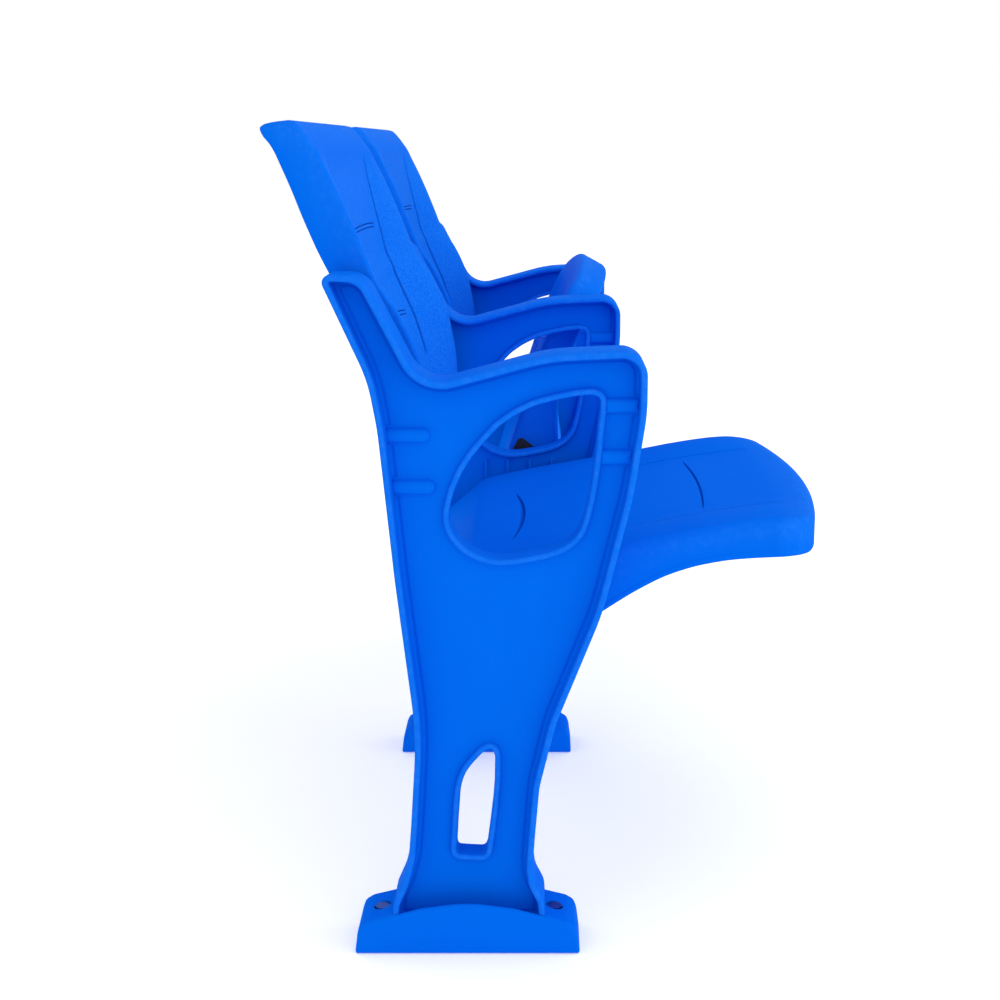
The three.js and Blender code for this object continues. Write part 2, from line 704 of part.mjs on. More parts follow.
// Back fixing pieces, also made for one face of a standard.
function backFixing(name, face) {
  const inner = face * (webFace + fitGap);
  const outer = inner + face * fixingPlate;
  const middle = standardLevel(fixingShare);
  const bossEnd = face * (placeSide - fitGap);
  const past = face * overrun;
  let body = block(
    [Math.min(inner, outer), fixingDepth - fixingWidth / 2, middle - fixingHeight / 2],
    [Math.max(inner, outer), fixingDepth + fixingWidth / 2, middle + fixingHeight / 2]);
  for (const height of fixingHeights()) {
    body = body.add(bar(fixingBossRadius, inner, bossEnd, fixingDepth, height));
    body = body.subtract(bar(boltRadius + fitGap, outer, bossEnd + past, fixingDepth, height, holeSides));
  }
  return piece(name, body, blackSteel());
}

function backBolt(name, face, height) {
  const underHead = face * (placeSide + backWall + fitGap);
  return hexBolt(name, underHead, face * (webFace + fixingPlate + 2 * fitGap), fixingDepth, height);
}

// The row: standards and feet at each pitch line, a place between each pair of them.
const row = new THREE.Group();
const standardNames = ['left', 'centre', 'right'];
const placeNames = ['left', 'right'];
const lineAt = (index) => (index - (standardNames.length - 1) / 2) * seatPitch;

standardNames.forEach((name, index) => {
  const innerFaces = [-1, 1].filter((face) => standardNames[index + face]);
  const line = new THREE.Group();
  line.position.x = lineAt(index);
  line.add(standard(`standard_${name}`, innerFaces));
  line.add(foot(`foot_${name}`));
  line.add(anchorBolt(`anchor_bolt_${name}_front`, -anchorPlace));
  line.add(anchorBolt(`anchor_bolt_${name}_rear`, anchorPlace));
  row.add(line);
});

// One side of a place, fixed to the standard's face that looks into the place.
function fixedSide(place, side, face, lineX) {
  const fixed = new THREE.Group();
  fixed.position.x = lineX;
  const hinge = new THREE.Group();
  hinge.position.set(0, pivotDepth, pivotHeight);
  hinge.add(hingeBracket(`hinge_bracket_${place}_${side}`, face));
  hinge.add(bracketBolt(`bracket_bolt_${place}_${side}`, face));
  hinge.add(pivotPin(`pivot_pin_${place}_${side}`, face));
  hinge.add(stopStud(`stop_stud_${place}_${side}`, face));
  hinge.add(stopBuffer(`stop_buffer_${place}_${side}`, face));
  fixed.add(hinge);
  fixed.add(backFixing(`back_bracket_${place}_${side}`, face));
  const [lower, upper] = fixingHeights();
  fixed.add(backBolt(`back_bolt_${place}_${side}_lower`, face, lower));
  fixed.add(backBolt(`back_bolt_${place}_${side}_upper`, face, upper));
  return fixed;
}

placeNames.forEach((place, index) => {
  const leftLine = lineAt(index);
  const rightLine = lineAt(index + 1);
  const middle = (leftLine + rightLine) / 2;
  row.add(fixedSide(place, 'near', 1, leftLine));
  row.add(fixedSide(place, 'far', -1, rightLine));

  const back = new THREE.Group();
  back.position.x = middle;
  back.add(backShell(`back_shell_${place}`));
  back.add(backCover(`back_cover_${place}`));
  row.add(back);

  const seat = new THREE.Group();
  seat.position.set(middle, pivotDepth, pivotHeight);
  seat.rotation.x = place === 'right' ? -THREE.MathUtils.degToRad(tipAngle) : 0;
  seat.add(seatTop(`seat_top_${place}`));
  seat.add(seatPan(`seat_pan_${place}`));
  const near = new THREE.Group();
  near.position.x = -seatPitch / 2;
  near.add(hingeBush(`hinge_bush_${place}_near`, 1), seatPlate(`seat_plate_${place}_near`, 1));
  const far = new THREE.Group();
  far.position.x = seatPitch / 2;
  far.add(hingeBush(`hinge_bush_${place}_far`, -1), seatPlate(`seat_plate_${place}_far`, -1));
  seat.add(near, far);
  row.add(seat);
});

export default row;
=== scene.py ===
import json

import bmesh
import bpy
import numpy as np
from mathutils import Matrix
from mathutils.geometry import tessellate_polygon

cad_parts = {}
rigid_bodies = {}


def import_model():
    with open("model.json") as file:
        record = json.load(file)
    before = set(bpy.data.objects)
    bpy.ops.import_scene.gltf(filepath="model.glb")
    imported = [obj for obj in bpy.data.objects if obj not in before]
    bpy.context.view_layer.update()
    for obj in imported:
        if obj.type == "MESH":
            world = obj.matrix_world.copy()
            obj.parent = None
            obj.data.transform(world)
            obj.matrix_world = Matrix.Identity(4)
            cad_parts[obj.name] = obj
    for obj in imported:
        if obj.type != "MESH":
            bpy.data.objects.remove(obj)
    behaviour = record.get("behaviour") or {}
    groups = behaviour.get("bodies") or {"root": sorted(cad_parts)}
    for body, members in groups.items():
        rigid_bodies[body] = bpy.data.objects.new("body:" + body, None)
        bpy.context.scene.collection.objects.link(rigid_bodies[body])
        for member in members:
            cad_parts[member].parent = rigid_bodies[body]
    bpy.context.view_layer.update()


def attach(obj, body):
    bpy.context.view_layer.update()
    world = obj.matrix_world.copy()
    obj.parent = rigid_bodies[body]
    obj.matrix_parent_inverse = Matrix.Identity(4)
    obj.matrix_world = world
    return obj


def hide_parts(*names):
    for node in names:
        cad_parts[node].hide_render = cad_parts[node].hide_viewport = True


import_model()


# Feet. Each leg stands in a low block with an arched top, moulded in the same blue plastic as the rest.
# It has a pocket that the leg drops into and a counterbore over the anchor bolt at each end, and it
# stands flat on the terrace. Sizes are in millimetres, as in the part's source.
millimetre, weld_distance, sharp_angle, overrun = 0.001, 0.00002, np.radians(38.0), 20.0
line_places = {"left": -550.0, "centre": 0.0, "right": 550.0}
foot_length, foot_width, foot_height = 231.0, 66.0, 54.0
# Corners of an outline as Y, Z and radius: in shares of the length or height here, in mm where not shares.
foot_shares = np.array([
    [0.500, 0.000, 0.010], [0.488, 0.400, 0.040], [0.476, 0.560, 0.040], [0.440, 0.660, 0.070],
    [0.385, 0.718, 0.120], [0.316, 0.795, 0.150], [0.208, 0.925, 0.250], [0.000, 1.050, 0.650],
    [-0.208, 0.925, 0.250], [-0.316, 0.795, 0.150], [-0.385, 0.718, 0.120], [-0.440, 0.660, 0.070],
    [-0.476, 0.560, 0.040], [-0.488, 0.400, 0.040], [-0.500, 0.000, 0.010]])
# Inset from the outline, and distance in from the block's side.
foot_round = np.array([[3.4, 0.0], [2.2, 0.4], [1.2, 1.2], [0.5, 2.3], [0.1, 3.7], [0.0, 5.4]])
foot_near = foot_round * [1, -1] + [0, foot_width / 2]
foot_edge = np.concatenate([foot_near, (foot_near * [1, -1])[::-1]])
leg_front, leg_rear, leg_half, pocket_floor, pocket_gap = -78.0, 72.0, 29.0, 24.0, 0.8
anchor_place, anchor_recess, anchor_floor, bore_height, bore_flare = 89.0, 9.2, 32.0, 6.0, 0.5


def moved_outline(corners, inset, steps):
    """An outline with rounded corners, moved inwards, as points in Y and Z.

    Each edge shifts along its left-hand normal by the inset. A corner lies where its two shifted edges
    meet, and is rounded by an arc whose radius is its own less the inset on an outward turn, or plus it
    on a hollow one, in steps + 1 points. All insets give as many points, so rings join one to one.
    """
    at, radius = corners[:, :2], corners[:, 2]
    ahead = np.roll(at, -1, 0) - at
    ahead = ahead / np.linalg.norm(ahead, axis=1)[:, None]
    before = np.roll(ahead, 1, 0)
    cross = before[:, 0] * ahead[:, 1] - before[:, 1] * ahead[:, 0]
    normal = np.stack([-ahead[:, 1], ahead[:, 0]], 1)
    shift = inset * (normal - np.roll(normal, 1, 0))
    reach = (shift[:, 0] * ahead[:, 1] - shift[:, 1] * ahead[:, 0]) / cross
    corner = at + inset * np.roll(normal, 1, 0) + before * reach[:, None]
    side = np.linalg.norm(np.roll(corner, -1, 0) - corner, axis=1)
    room = 0.49 * np.minimum(side, np.roll(side, 1))
    turn = np.sign(cross)
    half = np.arccos(np.clip(-(before * ahead).sum(1), -1, 1)) / 2
    wanted = np.maximum(radius - turn * inset, 0.02 + 0.3 * abs(inset))
    tangent = np.minimum(wanted / np.tan(half), room)
    bisector = ahead - before
    bisector = bisector / np.linalg.norm(bisector, axis=1)[:, None]
    centre = corner + bisector * (tangent / np.cos(half))[:, None]
    arm = corner - before * tangent[:, None] - centre
    angle = (turn * (np.pi - 2 * half))[:, None] * np.linspace(0, 1, steps + 1)
    y = centre[:, :1] + np.cos(angle) * arm[:, :1] - np.sin(angle) * arm[:, 1:]
    z = centre[:, 1:] + np.sin(angle) * arm[:, :1] + np.cos(angle) * arm[:, 1:]
    return np.stack([y, z], -1).reshape(-1, 2)


def profile_round(corners, profile, steps):
    """A profile carried round an outline: ring k is moved in by profile[k, 0], at X = profile[k, 1]."""
    rings = np.stack([moved_outline(corners, inset, steps) for inset, _ in profile])
    across = np.broadcast_to(profile[:, 1, None, None], (*rings.shape[:2], 1))
    return np.concatenate([across, rings], -1)


def ring_faces(rows, columns):
    """Four-sided faces between neighbouring rings of a grid whose rows are closed loops."""
    row, column = np.meshgrid(np.arange(rows - 1), np.arange(columns), indexing="ij")
    a = row * columns + column
    b = row * columns + (column + 1) % columns
    return np.stack([a, b, b + columns, a + columns], -1).reshape(-1, 4).tolist()


def capped(rings):
    """A closed shell: faces between the rings, and a flat cap on the first and on the last of them."""
    rows, columns = rings.shape[:2]
    first = list(range(columns))
    last = [(rows - 1) * columns + column for column in first]
    return rings.reshape(-1, 3), ring_faces(rows, columns) + [first, last]


def shell_mesh(name, shells, line, marks):
    """Shells of points and faces (mm) as one welded mesh that points outwards, at its line of the row.

    Each of the marks is a share from 0 to 1 for every point, and is kept as an attribute of its name.
    """
    starts = np.cumsum([0] + [len(points) for points, _ in shells]).tolist()
    points = np.concatenate([points for points, _ in shells]) + [line, 0, 0]
    faces = [[start + n for n in face] for start, (_, some) in zip(starts, shells) for face in some]
    mesh = bpy.data.meshes.new(name)
    mesh.from_pydata((points * millimetre).tolist(), [], faces)
    for mark, shares in marks.items():
        mesh.attributes.new(mark, "FLOAT", "POINT").data.foreach_set("value", shares.ravel())
    weld = bmesh.new()
    weld.from_mesh(mesh)
    bmesh.ops.remove_doubles(weld, verts=weld.verts, dist=weld_distance)
    bmesh.ops.dissolve_degenerate(weld, edges=weld.edges, dist=weld_distance / 2)
    bmesh.ops.recalc_face_normals(weld, faces=weld.faces)
    weld.to_mesh(mesh)
    weld.free()
    return mesh


def add_object(name, data):
    """Puts a mesh, a lamp or a camera into the scene as an object of this name."""
    thing = bpy.data.objects.new(name, data)
    bpy.context.scene.collection.objects.link(thing)
    return thing


def make_piece(name, shells, line, material, marks=None):
    """A piece made of shells (mm), at its line of the row, in one material, smooth between sharp edges."""
    mesh = shell_mesh(name, shells, line, marks or {})
    mesh.shade_smooth()
    mesh.set_sharp_from_angle(angle=sharp_angle)
    mesh.materials.append(material)
    return add_object(name, mesh)


def cut_away(piece, tools):
    """Cuts closed shells of points and faces (mm) out of a piece, and leaves the result in its mesh."""
    tool = add_object("tool", shell_mesh("tool", tools, 0.0, {}))
    cut = piece.modifiers.new("cut", "BOOLEAN")
    cut.operation, cut.solver, cut.object = "DIFFERENCE", "EXACT", tool
    whole = bpy.data.meshes.new_from_object(piece.evaluated_get(bpy.context.evaluated_depsgraph_get()))
    piece.modifiers.remove(cut)
    piece.data = whole
    bpy.data.objects.remove(tool)
    piece.data.set_sharp_from_angle(angle=sharp_angle)


class Tap:
    """A socket of a material in the making. Sums, differences and products of taps lay down Math nodes."""

    def __init__(self, tree, socket=None):
        self.tree, self.socket = tree, socket

    def make(self, kind, settings, sockets, out=0):
        """Any node: its type, its settings, then a value or a tap for each named or numbered socket."""
        node = self.tree.nodes.new(kind)
        for key, value in settings.items():
            if key == "stops":
                points = node.color_ramp.elements
                points[0].position, points[0].color = value[0]
                points[1].position, points[1].color = value[1]
            else:
                setattr(node, key, value)
        for key, value in sockets.items():
            if isinstance(value, Tap):
                self.tree.links.new(value.socket, node.inputs[key])
            else:
                node.inputs[key].default_value = value
        return Tap(self.tree, node.outputs[out]) if node.outputs else None

    def __add__(self, other):
        return self.make("ShaderNodeMath", {"operation": "ADD"}, {0: self, 1: other})

    def __radd__(self, other):
        return self + other

    def __mul__(self, other):
        return self.make("ShaderNodeMath", {"operation": "MULTIPLY"}, {0: self, 1: other})

    def __rmul__(self, other):
        return self * other

    def __sub__(self, other):
        return self.make("ShaderNodeMath", {"operation": "SUBTRACT"}, {0: self, 1: other})

    def __rsub__(self, other):
        return self.make("ShaderNodeMath", {"operation": "SUBTRACT"}, {0: other, 1: self})


def empty_material(name):
    """A new material without nodes, and a tap that lays them."""
    material = bpy.data.materials.new(name)
    material.use_nodes = True
    material.node_tree.nodes.clear()
    return material, Tap(material.node_tree)


def noise(spot, scale, detail, roughness=0.5):
    """Cloudy noise from 0 to 1 at a place, with this many cells to a metre."""
    return spot.make("ShaderNodeTexNoise", {}, {
        "Vector": spot, "Scale": scale, "Detail": detail, "Roughness": roughness})


def blend(share, under, over):
    """A colour between two, each a tap or three numbers, by a share from 0 to 1."""
    ends = [end if isinstance(end, Tap) else (*end, 1) for end in (under, over)]
    return share.make("ShaderNodeMix", {"data_type": "RGBA"}, {0: share, 6: ends[0], 7: ends[1]}, 2)


# The rubbed blue is partly wear and partly a painted highlight on crests and edges.
deep_blue, bright_blue, rubbed_sheen_blue = (0.000, 0.112, 0.69), (0.001, 0.142, 0.77), (0.02, 0.19, 0.80)
# The speck blue paints glints, and the line blue paints shade in the grooves.
glint_blue, groove_shade_blue = (0.022, 0.215, 0.84), (0.0, 0.022, 0.30)


def moulded_plastic(name, grain_size, offset):
    """Through-coloured moulded plastic, as a new material.

    Colour: a deep and a bright blue mixed by clouds of about 160 mm and flow marks of about 25 mm, rubbed
    paler where the attribute worn is high, as wear and as a painted highlight; paler in specks, painted
    glints, where grained is high; and darker, a painted shade in the grooves, where line is high. Surface:
    an eroded grain of the given size, with soft waviness of some centimetres.
    Roughness follows the grain, and drops where hands have polished it.
    """
    material, start = empty_material(name)
    spot = start.make("ShaderNodeTexCoord", {}, {}, "Object")
    spot = start.make("ShaderNodeMapping", {}, {
        "Vector": spot, "Location": (offset, 0.3 * offset, 0.7 * offset)})
    cloud = noise(spot, 6.0, 3.0, 0.55)
    drawn = start.make("ShaderNodeVectorMath", {"operation": "MULTIPLY"}, {0: spot, 1: (1.0, 1.0, 0.35)})
    flow = noise(drawn, 40.0, 4.0)
    grain = noise(spot, 1.0 / grain_size, 2.0, 0.65)
    pits = start.make("ShaderNodeTexVoronoi", {"feature": "F1"}, {
        "Vector": spot, "Scale": 0.55 / grain_size})
    scuff = noise(spot, 130.0, 5.0, 0.7)
    scuff = start.make("ShaderNodeValToRGB", {"stops": [
        (0.46, (0, 0, 0, 1)), (0.66, (1, 1, 1, 1))]}, {"Fac": scuff})
    # Worn crests and edges go paler: partly wear, partly a painted highlight.
    worn = start.make("ShaderNodeAttribute", {"attribute_name": "worn"}, {}, "Fac")
    rub_and_sheen = worn * (0.35 + 0.65 * scuff)
    tone = 0.15 + 0.45 * cloud + 0.25 * flow
    colour = blend(0.5 * rub_and_sheen, blend(tone, deep_blue, bright_blue), rubbed_sheen_blue)
    # Paler specks where grained is high are painted glints.
    grained = start.make("ShaderNodeAttribute", {"attribute_name": "grained"}, {}, "Fac")
    glint_specks = noise(spot, 620.0, 1.0)
    glint_specks = start.make("ShaderNodeValToRGB", {"stops": [
        (0.40, (0, 0, 0, 1)), (0.62, (1, 1, 1, 1))]}, {"Fac": glint_specks})
    colour = blend(grained * (0.55 * glint_specks), colour, glint_blue)
    # Darker blue where line is high is painted shade in the grooves.
    groove_shade = start.make("ShaderNodeAttribute", {"attribute_name": "line"}, {}, "Fac")
    colour = blend(0.7 * groove_shade, colour, groove_shade_blue)
    rough = 0.42 + 0.16 * grain + 0.06 * cloud - 0.10 * rub_and_sheen
    height = grain + 0.5 * pits + 0.54 * flow
    bump = start.make("ShaderNodeBump", {}, {"Height": height, "Strength": 0.35, "Distance": 0.00022})
    shader = start.make("ShaderNodeBsdfPrincipled", {}, {
        "Base Color": colour, "Roughness": rough, "Specular IOR Level": 0.001, "Normal": bump})
    start.make("ShaderNodeOutputMaterial", {}, {"Surface": shader})
    return material


standard_blue = moulded_plastic("standard_blue", 0.0011, 0.0)
foot_outline = foot_shares * [foot_length, foot_height, foot_length]
foot_shell = capped(profile_round(foot_outline, foot_edge, 8))
pocket = np.array([
    [x, y, z] for x in (-leg_half - pocket_gap, leg_half + pocket_gap)
    for y in (leg_front - pocket_gap, leg_rear + pocket_gap) for z in (pocket_floor, foot_height + overrun)])
pocket_faces = [[0, 1, 3, 2], [4, 5, 7, 6], [0, 1, 5, 4], [2, 3, 7, 6], [0, 2, 6, 4], [1, 3, 7, 5]]
round_angle = np.linspace(0, 2 * np.pi, 40, endpoint=False)


def counterbore(place):
    """An upright round cutter: radius times cosine and sine, from the recess floor up past the block."""
    widths = anchor_recess + np.array([0.0, 0.0, bore_flare])
    heights = anchor_floor + np.array([0.0, bore_height, bore_height + overrun])
    rings = np.stack([
        widths[:, None] * np.cos(round_angle), place + widths[:, None] * np.sin(round_angle),
        np.broadcast_to(heights[:, None], (len(heights), len(round_angle)))], -1)
    return capped(rings)


for name, line in line_places.items():
    block = make_piece(f"foot_block_{name}", [foot_shell], 0.0, standard_blue)
    cut_away(block, [(pocket, pocket_faces), counterbore(-anchor_place), counterbore(anchor_place)])
    block.data.transform(Matrix.Translation((line * millimetre, 0, 0)))
    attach(block, "frame")
    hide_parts(f"foot_{name}")


# Anchor bolts, bracket bolts, back bolts and stop studs. Zinc-plated steel: the anchors are passivated dark
# blue and hold the feet to the terrace, and the others are bright and hold hinges, backs and buffers.
def zinc_plate(name, cool, warm):
    """Zinc-plated steel: metal whose passivation drifts between two tones, dulled by fine handling marks."""
    material, start = empty_material(name)
    spot = start.make("ShaderNodeTexCoord", {}, {}, "Object")
    cloud = noise(spot, 90.0, 3.0)
    marks = noise(spot, 900.0, 4.0)
    colour = blend(cloud, cool, warm)
    bump = start.make("ShaderNodeBump", {}, {"Height": marks, "Strength": 0.25, "Distance": 0.0001})
    shader = start.make("ShaderNodeBsdfPrincipled", {}, {
        "Base Color": colour, "Metallic": 1.0, "Roughness": 0.24 + 0.22 * marks, "Normal": bump})
    start.make("ShaderNodeOutputMaterial", {}, {"Surface": shader})
    return material


def finish_nodes(prefixes, material):
    """Gives every CAD node whose name starts with one of the prefixes this finish."""
    for piece in list(bpy.data.objects):
        if piece.type == "MESH" and piece.name.startswith(prefixes):
            piece.data.materials.clear()
            piece.data.materials.append(material)


zinc = zinc_plate("zinc_plate", (0.52, 0.56, 0.62), (0.70, 0.66, 0.55))
finish_nodes(("bracket_bolt_", "back_bolt_", "stop_stud_"), zinc)
blue_zinc = zinc_plate("blue_zinc_plate", (0.004, 0.050, 0.300), (0.010, 0.080, 0.400))
finish_nodes(("anchor_bolt_",), blue_zinc)


# Side standards. Each is one moulding in the shape of an I beam that flows from leg to armrest to back
# horn: a thin web, a deep flange all round, a beaded rim round the arm window and round the leg slot, a
# shallow step just inside the flange, short pads, and ribs on the faces that look into a place.
standard_depth, standard_height = 316.0, 690.0
standard_shares = np.array([
    [0.176, 0.203, 0.380], [0.155, 0.341, 1.266], [0.212, 0.572, 1.582], [0.256, 0.790, 0.949],
    [0.282, 0.858, 0.475], [0.424, 1.003, 0.025], [0.291, 1.000, 0.082], [0.119, 0.846, 0.114],
    [-0.263, 0.893, 0.633], [-0.560, 0.899, 0.076], [-0.560, 0.812, 0.633], [-0.522, 0.696, 1.266],
    [-0.430, 0.525, 0.949], [-0.285, 0.357, 0.506], [-0.234, 0.261, 0.316], [-0.219, 0.180, 0.222]])
leg_rear_flare = np.array([
    [77.4, 25.0, 1.5], [75.4, 53.0, 20.0], [65.5, 76.0, 40.0], [58.8, 102.0, 60.0]])
leg_front_flare = np.array([
    [-67.0, 94.0, 40.0], [-69.0, 75.0, 30.0], [-78.5, 56.0, 25.0], [-80.6, 25.0, 1.5]])
window_line = np.array([
    [-136.5, 578.0], [-139.3, 571.0], [-138.9, 560.0], [-137.1, 542.2], [-134.5, 512.0], [-131.5, 490.0],
    [-128.5, 472.0], [-124.3, 453.3], [-119.0, 438.0], [-110.0, 427.0], [-98.0, 418.8], [-79.5, 413.0],
    [-50.1, 407.4], [-32.0, 406.2], [-15.8, 410.0], [-1.0, 417.6], [10.5, 428.0], [17.8, 439.5],
    [21.0, 452.5], [20.0, 466.0], [14.8, 484.5], [6.6, 503.0], [-3.5, 519.3], [-16.9, 535.4],
    [-31.0, 550.5], [-47.8, 562.2], [-67.5, 571.8], [-89.0, 577.6], [-110.0, 581.6], [-125.3, 582.8],
    [-132.0, 581.0]])
slot_line = np.array([
    [17.6, 106.7], [16.0, 133.0], [13.8, 161.4], [11.6, 177.6], [8.4, 189.5], [2.2, 200.3], [-6.0, 209.9],
    [-14.1, 218.5], [-21.2, 222.6], [-28.2, 222.0], [-33.4, 217.0], [-35.7, 208.8], [-35.0, 183.0],
    [-32.8, 155.9], [-29.6, 128.6], [-26.4, 104.5], [-23.3, 97.8], [-17.1, 93.9], [-2.8, 94.6],
    [10.5, 95.6], [15.8, 99.6]])
standard_outline = np.concatenate([
    leg_rear_flare, standard_shares * [standard_depth, standard_height, standard_depth], leg_front_flare])
panel_inset, panel_face, rim_foot, rim_round = 14.0, 7.5, -5.0, 60.0
# Half profiles as inset from their outline, X, and the share of wear and painted highlight, from the web's
# face over the edge and back down.
flange_half = np.array([
    [14.0, 7.5, 0.0], [12.1, 7.5, 0.0], [11.6, 7.3, 0.0], [10.9, 6.6, 0.0], [10.4, 6.4, 0.0],
    [8.6, 6.4, 0.0], [7.9, 6.6, 0.0], [7.4, 7.0, 0.0], [7.1, 7.6, 0.0], [7.0, 8.4, 0.0],
    [6.4, 26.4, 0.3], [6.1, 27.7, 0.8], [5.4, 28.6, 1.0], [4.4, 29.0, 1.0],
    [3.0, 29.0, 1.0], [1.9, 28.8, 1.0], [0.9, 28.1, 1.0], [0.3, 27.2, 0.8], [0.0, 26.0, 0.4]])
rim_half = np.array([
    [-5.0, 7.5, 0.0], [-2.8, 7.5, 0.0], [-1.4, 7.8, 0.0], [-0.5, 8.5, 0.0], [0.0, 9.7, 0.0],
    [0.2, 12.2, 0.2], [0.6, 13.5, 0.6], [1.4, 14.5, 1.0], [2.6, 15.0, 1.0], [3.9, 15.0, 1.0],
    [5.1, 14.6, 1.0], [6.0, 13.7, 0.6], [6.4, 12.4, 0.2]])
pad_radius, pad_end_radius, pad_overlap = 7.3, 1.0, 2.0
rib_half, rib_end_radius, rib_foot_share, rib_head_share = 1.5, 1.2, 0.55, 0.585
# Each pad: the shares of its height, its free and its fixed end, and whether only outer faces have it.
pad_rows = [(0.777, 0.121, 0.222, True), (0.703, 0.108, 0.205, True),
            (0.819, -0.440, -0.535, False), (0.746, -0.427, -0.515, False)]
pad_profile = np.array([
    [-2.4, 3.0], [-2.4, 7.45], [-1.2, 7.75], [-0.4, 8.5], [0.0, 9.8], [0.5, 11.4], [1.4, 12.9],
    [2.9, 14.1], [4.9, 14.8], [7.2, 15.0]])
rib_profile = np.array([
    [-1.6, 3.0], [-1.6, 7.45], [-0.7, 7.7], [-0.1, 8.5], [0.1, 14.4], [0.4, 15.1], [1.0, 15.4]])
rib_places = [-0.280, -0.188, -0.096, -0.006]


def both_sides(half):
    """A half profile (inset, X, wear and painted highlight) followed by its mirror image in X, back to where
    it started.
    """
    return np.concatenate([half, (half * [1, -1, 1])[::-1]])


def boss(low, high, radius, profile, face):
    """A raised boss on a face of the web: its profile carried round a rounded rectangle in Y and Z."""
    corners = np.array([
        [low[0], low[1], radius], [high[0], low[1], radius], [high[0], high[1], radius],
        [low[0], high[1], radius]])
    return capped(profile_round(corners, profile * [1, face], 6))


def standard_shells(inner_faces):
    """All shells of one standard, and the share of wear and painted highlight at each of their points.

    The flange and the two rims are profiles carried round their outlines. On either face of the web a
    flat panel fills what lies between the flange's foot and the feet of the rims.
    """
    loops = [standard_outline] + [
        np.column_stack([line, np.full(len(line), rim_round)]) for line in (window_line, slot_line)]
    arcs = [9, 4, 4]
    shells, worn = [], []
    for loop, half, steps in zip(loops, (flange_half, rim_half, rim_half), arcs):
        whole = both_sides(half)
        rings = profile_round(loop, whole[:, :2], steps)
        shells.append((rings.reshape(-1, 3), ring_faces(*rings.shape[:2])))
        worn.append(np.repeat(whole[:, 2], rings.shape[1]))
    for face in (-1, 1):
        edges = [moved_outline(loop, inset, steps) for loop, inset, steps in zip(
            loops, (panel_inset, rim_foot, rim_foot), arcs)]
        flat = [[(y, z, 0.0) for y, z in edge.tolist()] for edge in edges]
        points = np.concatenate(edges)
        points = np.concatenate([np.full((len(points), 1), face * panel_face), points], 1)
        shells.append((points, [list(three) for three in tessellate_polygon(flat)]))
        worn.append(np.zeros(len(points)))
        inner = face in inner_faces
        for height, free, fixed, outer_only in pad_rows:
            if inner and outer_only:
                continue
            low, high = sorted((free * standard_depth, fixed * standard_depth))
            middle = height * standard_height
            end, past = (pad_radius, pad_radius) if outer_only else (pad_end_radius, pad_overlap)
            shells.append(boss(
                (low - past, middle - pad_radius), (high + past, middle + pad_radius),
                end, pad_profile, face))
            worn.append(np.zeros(len(shells[-1][0])))
        for share in rib_places if inner else []:
            middle = share * standard_depth
            shells.append(boss(
                (middle - rib_half, rib_foot_share * standard_height),
                (middle + rib_half, rib_head_share * standard_height), rib_end_radius, rib_profile, face))
            worn.append(np.zeros(len(shells[-1][0])))
    return shells, worn


for name, line in line_places.items():
    inner_faces = {"left": [1], "centre": [-1, 1], "right": [-1]}[name]
    shells, worn = standard_shells(inner_faces)
    # The worn share is wear on the crests and also a painted highlight there.
    marks = {"worn": np.concatenate(worn)}
    moulding = make_piece(f"side_standard_{name}", shells, line, standard_blue, marks)
    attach(moulding, "frame")
    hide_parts(f"standard_{name}")


# Back brackets, hinge brackets and seat plates. Pressed steel under black powder coat: the brackets are
# bolted to the standards' webs, and a plate is riveted to each side of a seat, round its bush.
def powder_coat(name):
    """Black powder coat: near-black with a faint cool cast, an orange-peel bump and dust in soft clouds."""
    material, start = empty_material(name)
    spot = start.make("ShaderNodeTexCoord", {}, {}, "Object")
    peel = noise(spot, 700.0, 2.0)
    dust = noise(spot, 60.0, 4.0)
    colour = blend(0.5 * dust, (0.008, 0.007, 0.012), (0.022, 0.020, 0.030))
    bump = start.make("ShaderNodeBump", {}, {"Height": peel, "Strength": 0.3, "Distance": 0.0002})
    shader = start.make("ShaderNodeBsdfPrincipled", {}, {
        "Base Color": colour, "Roughness": 0.42 + 0.2 * dust, "Specular IOR Level": 0.35, "Normal": bump})
    start.make("ShaderNodeOutputMaterial", {}, {"Surface": shader})
    return material


black_coat = powder_coat("black_powder_coat")
finish_nodes(("back_bracket_", "hinge_bracket_", "seat_plate_"), black_coat)


# Backs. Each is a hollow moulding: a front shell with a bolster down either side and a middle panel set
# back between them, and a cover let into its rear. Two thin lines run down the panel's edges, and two
# shallow bands cross it. It is bolted to the brackets through its sides.
place_half = 240.0
places = {"left": -275.0, "right": 275.0}
back_bottom, back_height, back_depth, back_front = 432.0, 401.0, 162.0, 31.5
back_corner, back_edge, back_foot, back_recess = 20.0, 4.0, 5.0, 38.0
bolster_inner, bolster_outer = 140.0, 236.0
